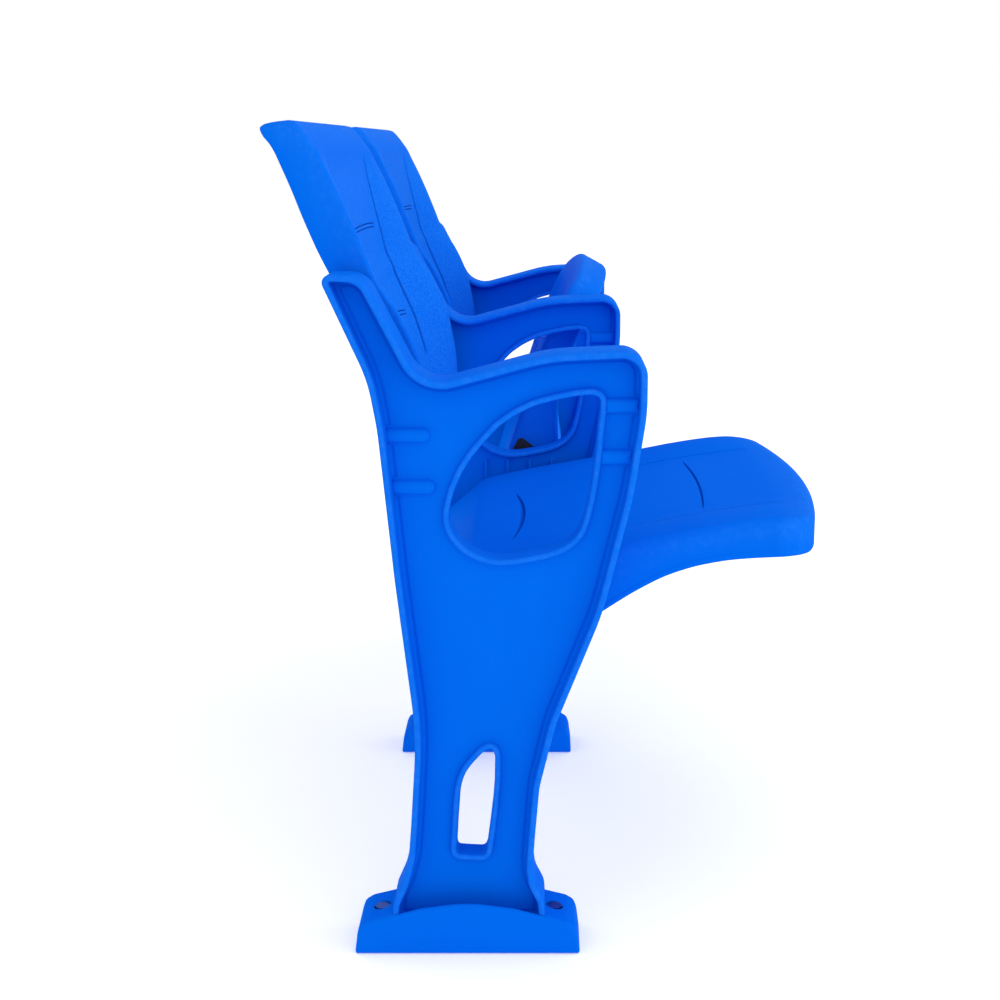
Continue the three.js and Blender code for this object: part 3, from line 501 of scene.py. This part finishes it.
# Height, front, rear and recess, in shares of the back's height, of its depth twice and of its recess.
back_rows = np.array([
    [0.000, 0.065, 0.262, 0.50], [0.095, 0.022, 0.268, 0.62], [0.170, 0.003, 0.276, 0.73],
    [0.252, 0.010, 0.288, 0.84], [0.322, 0.028, 0.306, 0.92], [0.364, 0.048, 0.336, 0.96],
    [0.426, 0.079, 0.380, 1.04], [0.492, 0.141, 0.449, 1.08], [0.555, 0.222, 0.518, 1.02],
    [0.590, 0.285, 0.558, 0.86], [0.618, 0.330, 0.590, 0.81], [0.696, 0.408, 0.684, 0.67],
    [0.773, 0.485, 0.763, 0.52], [0.840, 0.559, 0.826, 0.35], [0.892, 0.622, 0.880, 0.16],
    [0.927, 0.664, 0.918, 0.05], [0.946, 0.697, 0.946, 0.00], [0.960, 0.722, 0.976, 0.00],
    [0.981, 0.762, 1.000, 0.00], [0.990, 0.782, 0.978, 0.00], [0.997, 0.804, 0.905, 0.00],
    [1.000, 0.835, 0.850, 0.00], [1.004, 0.842, 0.843, 0.00]])
back_line, back_line_low, back_line_high = 160.0, 565.0, 789.0
band_half, band_heights, band_drops, band_width = 122.0, (619.4, 719.5), (6.0, 2.5), 4.4
line_depth, line_fade, upright_half, cross_half = 1.8, 12.0, 3.6, 0.8
cover_low, cover_high, cover_sink, cover_wall = 436.3, 814.6, 3.3, 3.0
# The rim, edge and rear wear shares set wear and a painted highlight together; the line gain sets painted
# shade in the lines; the grain fade bounds painted glints.
back_lip, cover_brim, cover_gap, rim_wear_and_sheen, glint_fade = 3.0, 4.0, 0.7, 30.0, (60.0, 10.0)
edge_wear_and_sheen, rear_wear_and_sheen, groove_shade_gain, bend_fade = 0.7, 0.5, 1.4, (8.0, 40.0)


def smooth_rows(rows, place):
    """Columns of a table at any places, on a smooth curve through its rows.

    Between two rows it is the cubic with given end slopes. A row's slope is the weighted harmonic mean
    of the slopes on either side of it, or zero at a crest, so the curve never swings past the rows.
    """
    at, values = rows[:, 0], rows[:, 1:]
    step = np.diff(at)[:, None]
    slope = np.diff(values, axis=0) / step
    before, after = slope[:-1], slope[1:]
    weight_before, weight_after = 2 * step[1:] + step[:-1], step[1:] + 2 * step[:-1]
    same = before * after > 0
    safe_before, safe_after = np.where(same, before, 1), np.where(same, after, 1)
    mean = (weight_before + weight_after) / (weight_before / safe_before + weight_after / safe_after)
    ends = np.concatenate([slope[:1], np.where(same, mean, 0), slope[-1:]])
    index = np.clip(np.searchsorted(at, place) - 1, 0, len(at) - 2)
    t = ((place - at[index]) / np.diff(at)[index])[..., None]
    span = step[index]
    return ((1 + 2 * t) * (1 - t) ** 2 * values[index] + t * (1 - t) ** 2 * span * ends[index]
            + t ** 2 * (3 - 2 * t) * values[index + 1] - t ** 2 * (1 - t) * span * ends[index + 1])


def narrowing(distance, radius):
    """How far a rounded corner of this radius has drawn in, at a distance from its end."""
    past = np.clip(radius - distance, 0, radius)
    return radius - np.sqrt(radius ** 2 - past ** 2)


def soft_step(value, low, high):
    """0 below low, 1 above high, and a smooth S between them."""
    t = np.clip((value - low) / (high - low), 0, 1)
    return t * t * (3 - 2 * t)


def groove(distance, half):
    """Depth of a V line of this half width, at a distance from its middle."""
    return line_depth * np.clip(1 - abs(distance) / half, 0, 1)


def fine_places(low, high, count, lines, half):
    """Evenly spread places, with seven more across each line of this half width."""
    close = np.array([-1.6, -1.0, -0.45, 0.0, 0.45, 1.0, 1.6]) * half
    extra = (np.array(lines)[:, None] + close).ravel()
    even = np.linspace(low, high, count)
    apart = abs(even[:, None] - np.array(lines)).min(1) > 2.2 * half
    inside = (extra > low) & (extra < high)
    return np.sort(np.concatenate([even[apart], extra[inside]]))


def back_across():
    """Places across the front, as shares of its flat width: spread evenly, and close at each line."""
    flat = place_half - back_edge
    return fine_places(-flat, flat, 96, [-back_line, -band_half, band_half, back_line], upright_half) / flat


def back_levels():
    """Heights of the back's levels: close at the foot, at the bands' edges and round the top."""
    bands = [middle + side * band_width / 2 for middle in band_heights for side in (-1, 1)]
    foot = back_bottom + back_foot * (1 - np.cos(np.linspace(0, np.pi / 2, 6)))
    middle = fine_places(
        back_bottom + back_foot + 2, back_bottom + back_height - back_corner - 2, 80, bands, cross_half)
    top = back_bottom + back_height - back_corner * (1 - np.sin(np.linspace(0, np.pi / 2, 26)))
    last = back_bottom + back_height * np.array([1.0015, 1.003, 1.004])
    cover = np.array([cover_low - 0.02, cover_low, cover_high, cover_high + 0.02])
    return np.unique(np.round(np.concatenate([foot, middle, top, last, cover]), 4))


def back_rings():
    """The back as rings, one for each level, and for their points the share of wear and painted highlight,
    of painted shade in the lines and of painted glints.

    Near a band the levels of the front bow down towards the sides, by the square of X. Y is the
    bolsters' front at that height plus the recess, which fades out across the bolsters, plus the
    roundness of the side edge and the thin lines. The rings go on round the sides to the rear, with a
    step down where the cover is let in.
    """
    height = back_levels()
    share = (height - back_bottom) / back_height
    table = smooth_rows(back_rows, share)
    drawn = narrowing(height - back_bottom, back_foot)
    front = back_front + table[:, 0] * back_depth + drawn
    rear = back_front + table[:, 1] * back_depth - drawn
    half = place_half - narrowing((1 - share) * back_height, back_corner) - drawn
    edge = np.minimum(back_edge, (rear - front) / 2)
    angle = np.linspace(np.pi / 2, 0, 9)
    x = np.concatenate([
        -(half - edge)[:, None] - edge[:, None] * np.sin(angle)[:-1],
        (half - edge)[:, None] * back_across(),
        (half - edge)[:, None] + edge[:, None] * np.sin(angle[::-1])[1:]], 1)
    past = np.clip(abs(x) - (half - edge)[:, None], 0, edge[:, None])
    round_off = edge[:, None] - np.sqrt(np.maximum(edge[:, None] ** 2 - past ** 2, 0))
    inside = 1 - soft_step(abs(x), bolster_inner, bolster_outer)
    level = np.broadcast_to(np.minimum(height, back_bottom + back_height)[:, None], x.shape)
    down = groove(abs(x) - back_line, upright_half)
    down = down * soft_step(level, back_line_low - line_fade, back_line_low)
    down = down * (1 - soft_step(level, back_line_high, back_line_high + line_fade))
    across = sum(groove(level - middle - side * band_width / 2, cross_half)
                 for middle in band_heights for side in (-1, 1))
    ends = sum(groove(abs(x) - band_half, upright_half) * (abs(level - middle) < band_width / 2)
               for middle in band_heights)
    lines = np.maximum(down, np.maximum(across * (abs(x) <= band_half), ends))
    bow = sum(drop * (1 - soft_step(abs(level - middle), *bend_fade))
              for middle, drop in zip(band_heights, band_drops))
    bow = bow * np.clip(abs(x) / band_half, 0, 1) ** 2 * (1 - soft_step(abs(x), band_half, bolster_outer))
    z = level - bow
    table = smooth_rows(back_rows, (z + (height[:, None] - level) - back_bottom) / back_height)
    y = back_front + table[..., 0] * back_depth + drawn[:, None] + back_recess * table[..., 2] * inside
    y = y + round_off + lines
    # The sides and the rear.
    lip = np.minimum(back_lip, (rear - front) / 2)
    sink = np.where((height >= cover_low) & (height <= cover_high), cover_sink, 0.0)
    corner = np.linspace(0, np.pi / 2, 5)
    side_x = half[:, None] - lip[:, None] * (1 - np.cos(corner))
    side_y = rear[:, None] - lip[:, None] * (1 - np.sin(corner))
    brim = half - cover_brim
    inner_x = np.stack([brim, brim - 0.4, 0 * half, 0.4 - brim, -brim], 1)
    inner_y = np.stack([rear, rear - sink, rear - sink, rear - sink, rear], 1)
    rear_x = np.concatenate([side_x, inner_x, -side_x[:, ::-1]], 1)
    rear_y = np.concatenate([side_y, inner_y, side_y[:, ::-1]], 1)
    ring_x, ring_y = np.concatenate([x, rear_x], 1), np.concatenate([y, rear_y], 1)
    ring_z = np.concatenate([z, np.broadcast_to(level[:, :1], rear_x.shape)], 1)
    # The shares that steer the material: wear with a painted highlight on the edges and top rim, painted
    # shade in the lines, and painted glints on the front.
    top = back_bottom + back_height
    rim = np.clip(1 - (top - height) / rim_wear_and_sheen, 0, 1)[:, None]
    rubbed_and_sheen = edge_wear_and_sheen * past / edge[:, None] + rim
    wear_and_sheen = np.concatenate([np.clip(rubbed_and_sheen, 0, 1), 0 * rear_x + rear_wear_and_sheen * rim], 1)
    groove_shade = np.concatenate([np.clip(groove_shade_gain * lines / line_depth, 0, 1), 0 * rear_x], 1)
    low = 1 - soft_step(level, top - glint_fade[0], top - glint_fade[1])
    grain = np.concatenate([low * (past == 0), 0 * rear_x], 1)
    return np.stack([ring_x, ring_y, ring_z], -1), {"worn": wear_and_sheen, "line": groove_shade, "grained": grain}


def cover_rings():
    """The rear cover as rings: an even plate that follows the back's rear, its edges eased."""
    height = np.concatenate([
        cover_low + 0.3 + np.array([0.0, 0.25, 0.8]), np.linspace(cover_low + 6, cover_high - 6, 50),
        cover_high - 0.3 - np.array([0.8, 0.25, 0.0])])
    share = (height - back_bottom) / back_height
    rear = back_front + smooth_rows(back_rows, share)[:, 1] * back_depth
    half = place_half - narrowing((1 - share) * back_height, back_corner) - cover_brim - cover_gap
    ease = np.concatenate([[0.8, 0.25, 0.0], np.zeros(50), [0.0, 0.25, 0.8]])
    flat = np.linspace(-1, 1, 25) * (half - 0.8)[:, None]
    outer = 0 * flat + (rear - ease)[:, None]
    inner = 0 * flat + (rear - cover_wall)[:, None]
    side = np.stack([half - 0.25, half, half, half - 0.4], 1)
    side_y = np.stack([rear - 0.25 - ease, rear - 0.8, rear - cover_wall + 0.4, rear - cover_wall], 1)
    x = np.concatenate([flat, side, flat[:, ::-1], -side[:, ::-1]], 1)
    y = np.concatenate([outer, side_y, inner, side_y[:, ::-1]], 1)
    return np.stack([x, y, np.broadcast_to(height[:, None], x.shape)], -1)


shell_blue = moulded_plastic("shell_blue", 0.0012, 3.1)
for name, middle in places.items():
    rings, marks = back_rings()
    shell = make_piece(f"back_front_{name}", [capped(rings)], middle, shell_blue, marks)
    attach(shell, "frame")
    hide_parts(f"back_shell_{name}")
    cover = make_piece(f"back_rear_{name}", [capped(cover_rings())], middle, shell_blue)
    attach(cover, "frame")
    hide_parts(f"back_cover_{name}")


# Hinge pins and bushes. Each seat turns on two zinc-plated pins pressed into the hinge brackets; a grey
# nylon bush with a flange lines the seat's bore and keeps its side off the bracket.
def nylon(name):
    """Dark grey nylon: slightly waxy, with a faint cloudiness that its roughness and fine bump follow."""
    material, start = empty_material(name)
    spot = start.make("ShaderNodeTexCoord", {}, {}, "Object")
    cloud = noise(spot, 120.0, 3.0)
    colour = blend(cloud, (0.040, 0.042, 0.050), (0.065, 0.067, 0.075))
    bump = start.make("ShaderNodeBump", {}, {"Height": cloud, "Strength": 0.2, "Distance": 0.0003})
    shader = start.make("ShaderNodeBsdfPrincipled", {}, {
        "Base Color": colour, "Roughness": 0.38 + 0.15 * cloud, "Specular IOR Level": 0.4, "Normal": bump})
    start.make("ShaderNodeOutputMaterial", {}, {"Surface": shader})
    return material


finish_nodes(("pivot_pin_",), zinc)
finish_nodes(("hinge_bush_",), nylon("grey_nylon"))


# Stop buffers. A plain rubber cylinder on a stud under each side of a seat; the flat of the seat's
# underside comes to rest on it, when the seat is down and again when it is up.
def rubber(name):
    """Black rubber: matt, bloomed grey in patches, with a fine moulded bump."""
    material, start = empty_material(name)
    spot = start.make("ShaderNodeTexCoord", {}, {}, "Object")
    bloom = noise(spot, 150.0, 5.0)
    colour = blend(bloom * bloom, (0.012, 0.012, 0.013), (0.045, 0.045, 0.047))
    bump = start.make("ShaderNodeBump", {}, {"Height": bloom, "Strength": 0.3, "Distance": 0.0003})
    shader = start.make("ShaderNodeBsdfPrincipled", {}, {
        "Base Color": colour, "Roughness": 0.7 + 0.2 * bloom, "Specular IOR Level": 0.25, "Normal": bump})
    start.make("ShaderNodeOutputMaterial", {}, {"Surface": shader})
    return material


finish_nodes(("stop_buffer_",), rubber("black_rubber"))


# Seats. Each is a hollow moulding in two halves, a top with a rolled nose and a pan let into its
# underside. It is thick at the rear, where the hinge is, and thins towards the nose; two thin lines run
# forwards and two bowed ones cross them. The near seat is down and the far one is tipped up.
seat_rear, seat_length, seat_base, seat_thickness = 46.0, 403.5, 314.0, 129.0
nose_bow, nose_sweep, nose_drop, nose_corner, nose_from = 19.0, 26.5, 8.0, 40.0, 0.73
seat_edge, seat_under_edge, seat_dish, dish_inner, dish_outer = 12.0, 5.0, 6.0, 124.0, 206.0
pivot_depth, pivot_height, tip_angle = -71.0, 340.0, 61.0
# Place along the seat, top, underside and dish, in shares of its length, its thickness twice and its dish.
seat_rows = np.array([
    [-0.004, 0.205, 0.205, 0.0], [0.000, 0.232, 0.180, 0.0], [0.004, 0.250, 0.112, 0.0],
    [0.020, 0.295, 0.047, 0.0], [0.060, 0.402, 0.000, 0.0], [0.104, 0.522, 0.000, 0.0],
    [0.116, 0.549, 0.000, 0.1], [0.130, 0.564, 0.000, 0.2], [0.199, 0.615, 0.000, 0.7],
    [0.263, 0.658, 0.000, 1.0], [0.347, 0.708, 0.000, 1.0], [0.387, 0.730, 0.085, 1.0],
    [0.466, 0.774, 0.257, 1.0], [0.550, 0.822, 0.423, 1.0], [0.625, 0.866, 0.540, 1.0],
    [0.709, 0.918, 0.620, 1.0], [0.788, 0.958, 0.660, 1.0], [0.857, 0.983, 0.675, 0.7],
    [0.902, 0.990, 0.681, 0.4], [0.944, 0.986, 0.684, 0.2], [0.971, 0.976, 0.686, 0.0],
    [0.985, 0.963, 0.690, 0.0], [0.993, 0.948, 0.700, 0.0], [0.998, 0.930, 0.716, 0.0],
    [1.000, 0.910, 0.740, 0.0], [1.005, 0.825, 0.825, 0.0]])
seat_line, seat_line_half, seat_line_rear, seat_line_front = 150.0, 1.6, -177.0, -318.0
seat_arcs = ((-249.5, 7.0, 131.0, 2.2), (-43.5, 13.0, 119.0, 5.0))
arc_offsets = np.array([-1.6, -0.8, 0.0, 0.8, 1.8, 3.0, 4.4, 6.0])
arc_fade, arc_least, arc_lip, arc_depth = (4.0, 34.0), 0.5, 0.8, 2.16
seam_up, seam_half, seam_depth, seam_thin, seam_fade = 8.0, 0.8, 0.35, 24.0, (18.0, 26.0)
pan_low, pan_high, pan_sink, pan_wall, pan_margin, pan_gap = 0.030, 0.955, 3.3, 3.0, 12.4, 0.3
# The nose wear shares set wear and a painted highlight together.
seat_brim, nose_thin, nose_wear_and_sheen_from, nose_edge_wear_and_sheen = 0.4, 12.0, 0.9, 0.6


def seat_stations():
    """Shares along the seat: close at both ends, at the cross lines and where the pan starts and stops."""
    even = np.linspace(0.03, 0.90, 92)
    lines = (seat_rear - np.array([arc[0] for arc in seat_arcs])) / seat_length
    near = (lines[:, None] - arc_offsets / seat_length).ravel()
    apart = abs(even[:, None] - lines).min(1) > 8.0 / seat_length
    rear = np.array([
        -0.004, -0.003, -0.0015, 0.0, 0.002, 0.004, 0.009, 0.014, 0.020, 0.106, 0.111, 0.116, 0.121])
    nose = 1 - nose_corner / seat_length * (1 - np.sin(np.linspace(0, np.pi / 2, 26)))
    last = np.array([1.0015, 1.003, 1.0042, 1.005])
    pan = np.array([pan_low - 0.0001, pan_low, pan_high, pan_high + 0.0001])
    return np.unique(np.round(np.concatenate([rear, even[apart], near, nose, last, pan]), 6))


def seat_rings():
    """The seat as rings, one for each station, and for their points the share of wear and painted highlight
    and of painted shade in the lines.

    The seat is down, and X, Y and Z are the row's, with X from the middle of the place.
    A point's share along the seat bows forwards near the two cross lines, so that a line of the grid
    runs along each of them. Top and underside heights come from the table; the top sinks by the dish
    between the bolsters and rolls off at the sides, and near the nose the whole section bows forwards.
    """
    base = seat_stations()
    angle = np.linspace(np.pi / 2, 0, 9)
    flat = place_half - seat_edge
    across = fine_places(-flat, flat, 90, [-seat_line, seat_line], seat_line_half) / flat
    outer = np.sin(angle)
    count = len(angle) - 1
    flat_t = np.concatenate([-np.ones(count), across, np.ones(count)])
    arc_t = np.concatenate([-outer[:-1], 0 * across, outer[::-1][1:]])
    table = smooth_rows(seat_rows, base)
    half = place_half - narrowing((1 - base) * seat_length, nose_corner)
    edge = np.minimum(seat_edge, (table[:, 0] - table[:, 1]) * seat_thickness / 2)
    x = (half - edge)[:, None] * flat_t + edge[:, None] * arc_t
    share = np.broadcast_to(base[:, None], x.shape)
    cross = 0 * x
    for line, bow, reach, width in seat_arcs:
        behind = (seat_rear - base * seat_length - line)[:, None]
        middle = np.clip(1 - (x / reach) ** 2, 0, 1)
        near = 1 - soft_step(abs(behind), *arc_fade)
        share = share + near * middle * bow / seat_length
        slope = np.where(behind > 0, behind / (width * middle + arc_least), -behind / arc_lip)
        cross = np.maximum(cross, arc_depth * np.clip(4 * middle, 0, 1) * np.clip(1 - slope, 0, 1))
    table = smooth_rows(seat_rows, share)
    past = abs(edge[:, None] * arc_t)
    round_off = edge[:, None] - np.sqrt(np.maximum(edge[:, None] ** 2 - past ** 2, 0))
    inside = 1 - soft_step(abs(x), dish_inner, dish_outer)
    run = seat_rear - np.clip(share, 0, 1) * seat_length
    y = run - soft_step(share, nose_from, 1.0) * (nose_bow - nose_sweep * (x / place_half) ** 2)
    along = groove(abs(x) - seat_line, seat_line_half)
    along = along * (1 - soft_step(run, seat_line_rear - 4, seat_line_rear + 10))
    along = along * soft_step(run, seat_line_front - 10, seat_line_front + 4)
    z = seat_base + table[..., 0] * seat_thickness - seat_dish * table[..., 2] * inside - round_off
    lines = np.maximum(along, cross)
    z = z - lines
    # The sides, with their seam, and the underside.
    under_edge = np.minimum(seat_under_edge, edge)
    corner = np.linspace(0, np.pi / 2, 5)
    under = seat_base + smooth_rows(seat_rows, base)[:, 1] * seat_thickness
    sink = np.where((base >= pan_low) & (base <= pan_high), pan_sink, 0.0)
    thick = (smooth_rows(seat_rows, base)[:, 0] * seat_thickness + seat_base - under)[:, None]
    seam = np.array([seam_up + seam_half, seam_up, seam_up - seam_half]) * np.clip(thick / seam_thin, 0, 1)
    cut = np.array([0, seam_depth, 0]) * soft_step(thick, *seam_fade)
    round_x = half[:, None] - under_edge[:, None] * (1 - np.cos(corner))
    side_x = np.concatenate([half[:, None] - cut, round_x], 1)
    side_up = np.concatenate([seam, under_edge[:, None] * (1 - np.sin(corner))], 1)
    steps = np.linspace(1, -1, 25)
    inner_x = (half - pan_margin)[:, None] * steps
    inner_up = np.broadcast_to(sink[:, None], inner_x.shape)
    brim = (half - pan_margin + seat_brim)[:, None]
    low_x = np.concatenate([side_x, brim, inner_x, -brim, -side_x[:, ::-1]], 1)
    low_up = np.concatenate([side_up, 0 * brim, inner_up, 0 * brim, side_up[:, ::-1]], 1)
    low_blend = soft_step(base, nose_from, 1.0)[:, None]
    bulge = low_blend * (1 - (low_x / place_half) ** 2)
    low_run = (seat_rear - np.clip(base, 0, 1) * seat_length)[:, None]
    low_y = low_run - low_blend * (nose_bow - nose_sweep * (low_x / place_half) ** 2)
    low_z = under[:, None] + low_up - nose_drop * bulge * np.clip(thick / nose_thin, 0, 1)
    rings = np.stack([
        np.concatenate([x, low_x], 1), np.concatenate([y, low_y], 1), np.concatenate([z, low_z], 1)], -1)
    # The shares that steer the material: wear with a painted highlight on the edges and nose, and painted
    # shade in the lines.
    nose = np.clip((base - nose_wear_and_sheen_from) / (1 - nose_wear_and_sheen_from), 0, 1)[:, None]
    rubbed_and_sheen = nose_edge_wear_and_sheen * past / np.maximum(edge, 0.1)[:, None] + nose
    wear_and_sheen = np.concatenate([np.clip(rubbed_and_sheen, 0, 1), 0 * low_x + rear_wear_and_sheen * nose], 1)
    groove_shade = np.concatenate([np.clip(groove_shade_gain * lines / line_depth, 0, 1), 0 * low_x], 1)
    return rings, {"worn": wear_and_sheen, "line": groove_shade}


def pan_rings():
    """The underpan as rings: an even plate that follows the seat's underside inside its brim."""
    base = np.concatenate([[pan_low + 0.001, pan_low + 0.002], np.linspace(0.036, 0.949, 70),
                           [pan_high - 0.002, pan_high - 0.001]])
    ease = np.concatenate([[0.6, 0.1], np.zeros(70), [0.1, 0.6]])[:, None]
    under = (seat_base + smooth_rows(seat_rows, base)[:, 1] * seat_thickness)[:, None]
    half = (place_half - narrowing((1 - base) * seat_length, nose_corner) - pan_margin - pan_gap)[:, None]
    flat = np.linspace(1, -1, 25) * (half - 0.6)
    side = half - np.array([0.0, 0.0, 0.6])
    x = np.concatenate([flat, -side[:, ::-1], -flat, side], 1)
    low = under + ease + 0 * flat
    high = under + pan_wall + 0 * flat
    edge = under + np.array([pan_wall, 0.6, 0.0])
    z = np.concatenate([low, edge[:, ::-1], high, edge], 1)
    blend = soft_step(base, nose_from, 1.0)[:, None]
    y = (seat_rear - base * seat_length)[:, None] - blend * (nose_bow - nose_sweep * (x / place_half) ** 2)
    return np.stack([x, y, z - nose_drop * blend * (1 - (x / place_half) ** 2)], -1)


def tipped(points, angle):
    """Points turned about the hinge line by an angle in degrees, front upwards."""
    turn = np.radians(angle)
    y, z = points[..., 1] - pivot_depth, points[..., 2] - pivot_height
    return np.stack([
        points[..., 0], pivot_depth + np.cos(turn) * y + np.sin(turn) * z,
        pivot_height - np.sin(turn) * y + np.cos(turn) * z], -1)


for name, middle in places.items():
    angle = tip_angle if name == "right" else 0.0
    rings, marks = seat_rings()
    top = make_piece(f"seat_upper_{name}", [capped(tipped(rings, angle))], middle, shell_blue, marks)
    pan = make_piece(f"seat_under_{name}", [capped(tipped(pan_rings(), angle))], middle, shell_blue)
    for piece, node in ((top, f"seat_top_{name}"), (pan, f"seat_pan_{name}")):
        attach(piece, f"seat_{name}")
        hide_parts(node)


# The studio: a wide pale floor, even white light all round, large soft lamps overhead, at the near side
# and in front, and the camera at the near side of the row, looking along it and a little down.
floor_mesh = bpy.data.meshes.new("floor")
floor_mesh.from_pydata([(-14, -14, 0), (14, -14, 0), (14, 14, 0), (-14, 14, 0)], [], [[0, 1, 2, 3]])
floor_paint = bpy.data.materials.new("floor_paint")
floor_paint.use_nodes = True
for socket, value in (
        ("Base Color", (0.93, 0.93, 0.93, 1)), ("Roughness", 0.9), ("Specular IOR Level", 0.1),
        ("Emission Color", (1, 1, 1, 1)), ("Emission Strength", 0.22)):
    floor_paint.node_tree.nodes["Principled BSDF"].inputs[socket].default_value = value
floor_mesh.materials.append(floor_paint)
floor = add_object("floor", floor_mesh)

world = bpy.data.worlds.new("studio")
world.use_nodes = True
world.node_tree.nodes["Background"].inputs["Color"].default_value = (1, 1, 1, 1)
world.node_tree.nodes["Background"].inputs["Strength"].default_value = 1.0
bpy.context.scene.world = world

for lamp_name, place, turn, size, power in (
        ("overhead", (-0.6, -0.6, 3.4), (0.1, -0.15, 0.0), 2.6, 8.0),
        ("near_side", (-3.6, -1.4, 2.3), (0.0, -1.05, 0.35), 2.4, 16.0),
        ("front", (-0.5, -3.2, 1.5), (1.35, 0.0, 0.0), 2.4, 20.0)):
    lamp_data = bpy.data.lights.new(lamp_name, "AREA")
    lamp_data.shape, lamp_data.size, lamp_data.energy = "SQUARE", size, power
    lamp = add_object(lamp_name, lamp_data)
    lamp.location, lamp.rotation_euler = place, turn

camera_data = bpy.data.cameras.new("camera")
camera_data.lens, camera_data.sensor_width, camera_data.shift_x = 56.736, 36.0, -0.044
camera = add_object("camera", camera_data)
camera.location = (-2.057, -0.0785, 0.8086)
camera.rotation_euler = (np.radians(77.34), 0.0, np.radians(-90.0))
bpy.context.scene.camera = camera
bpy.context.scene.view_settings.view_transform = "Standard"
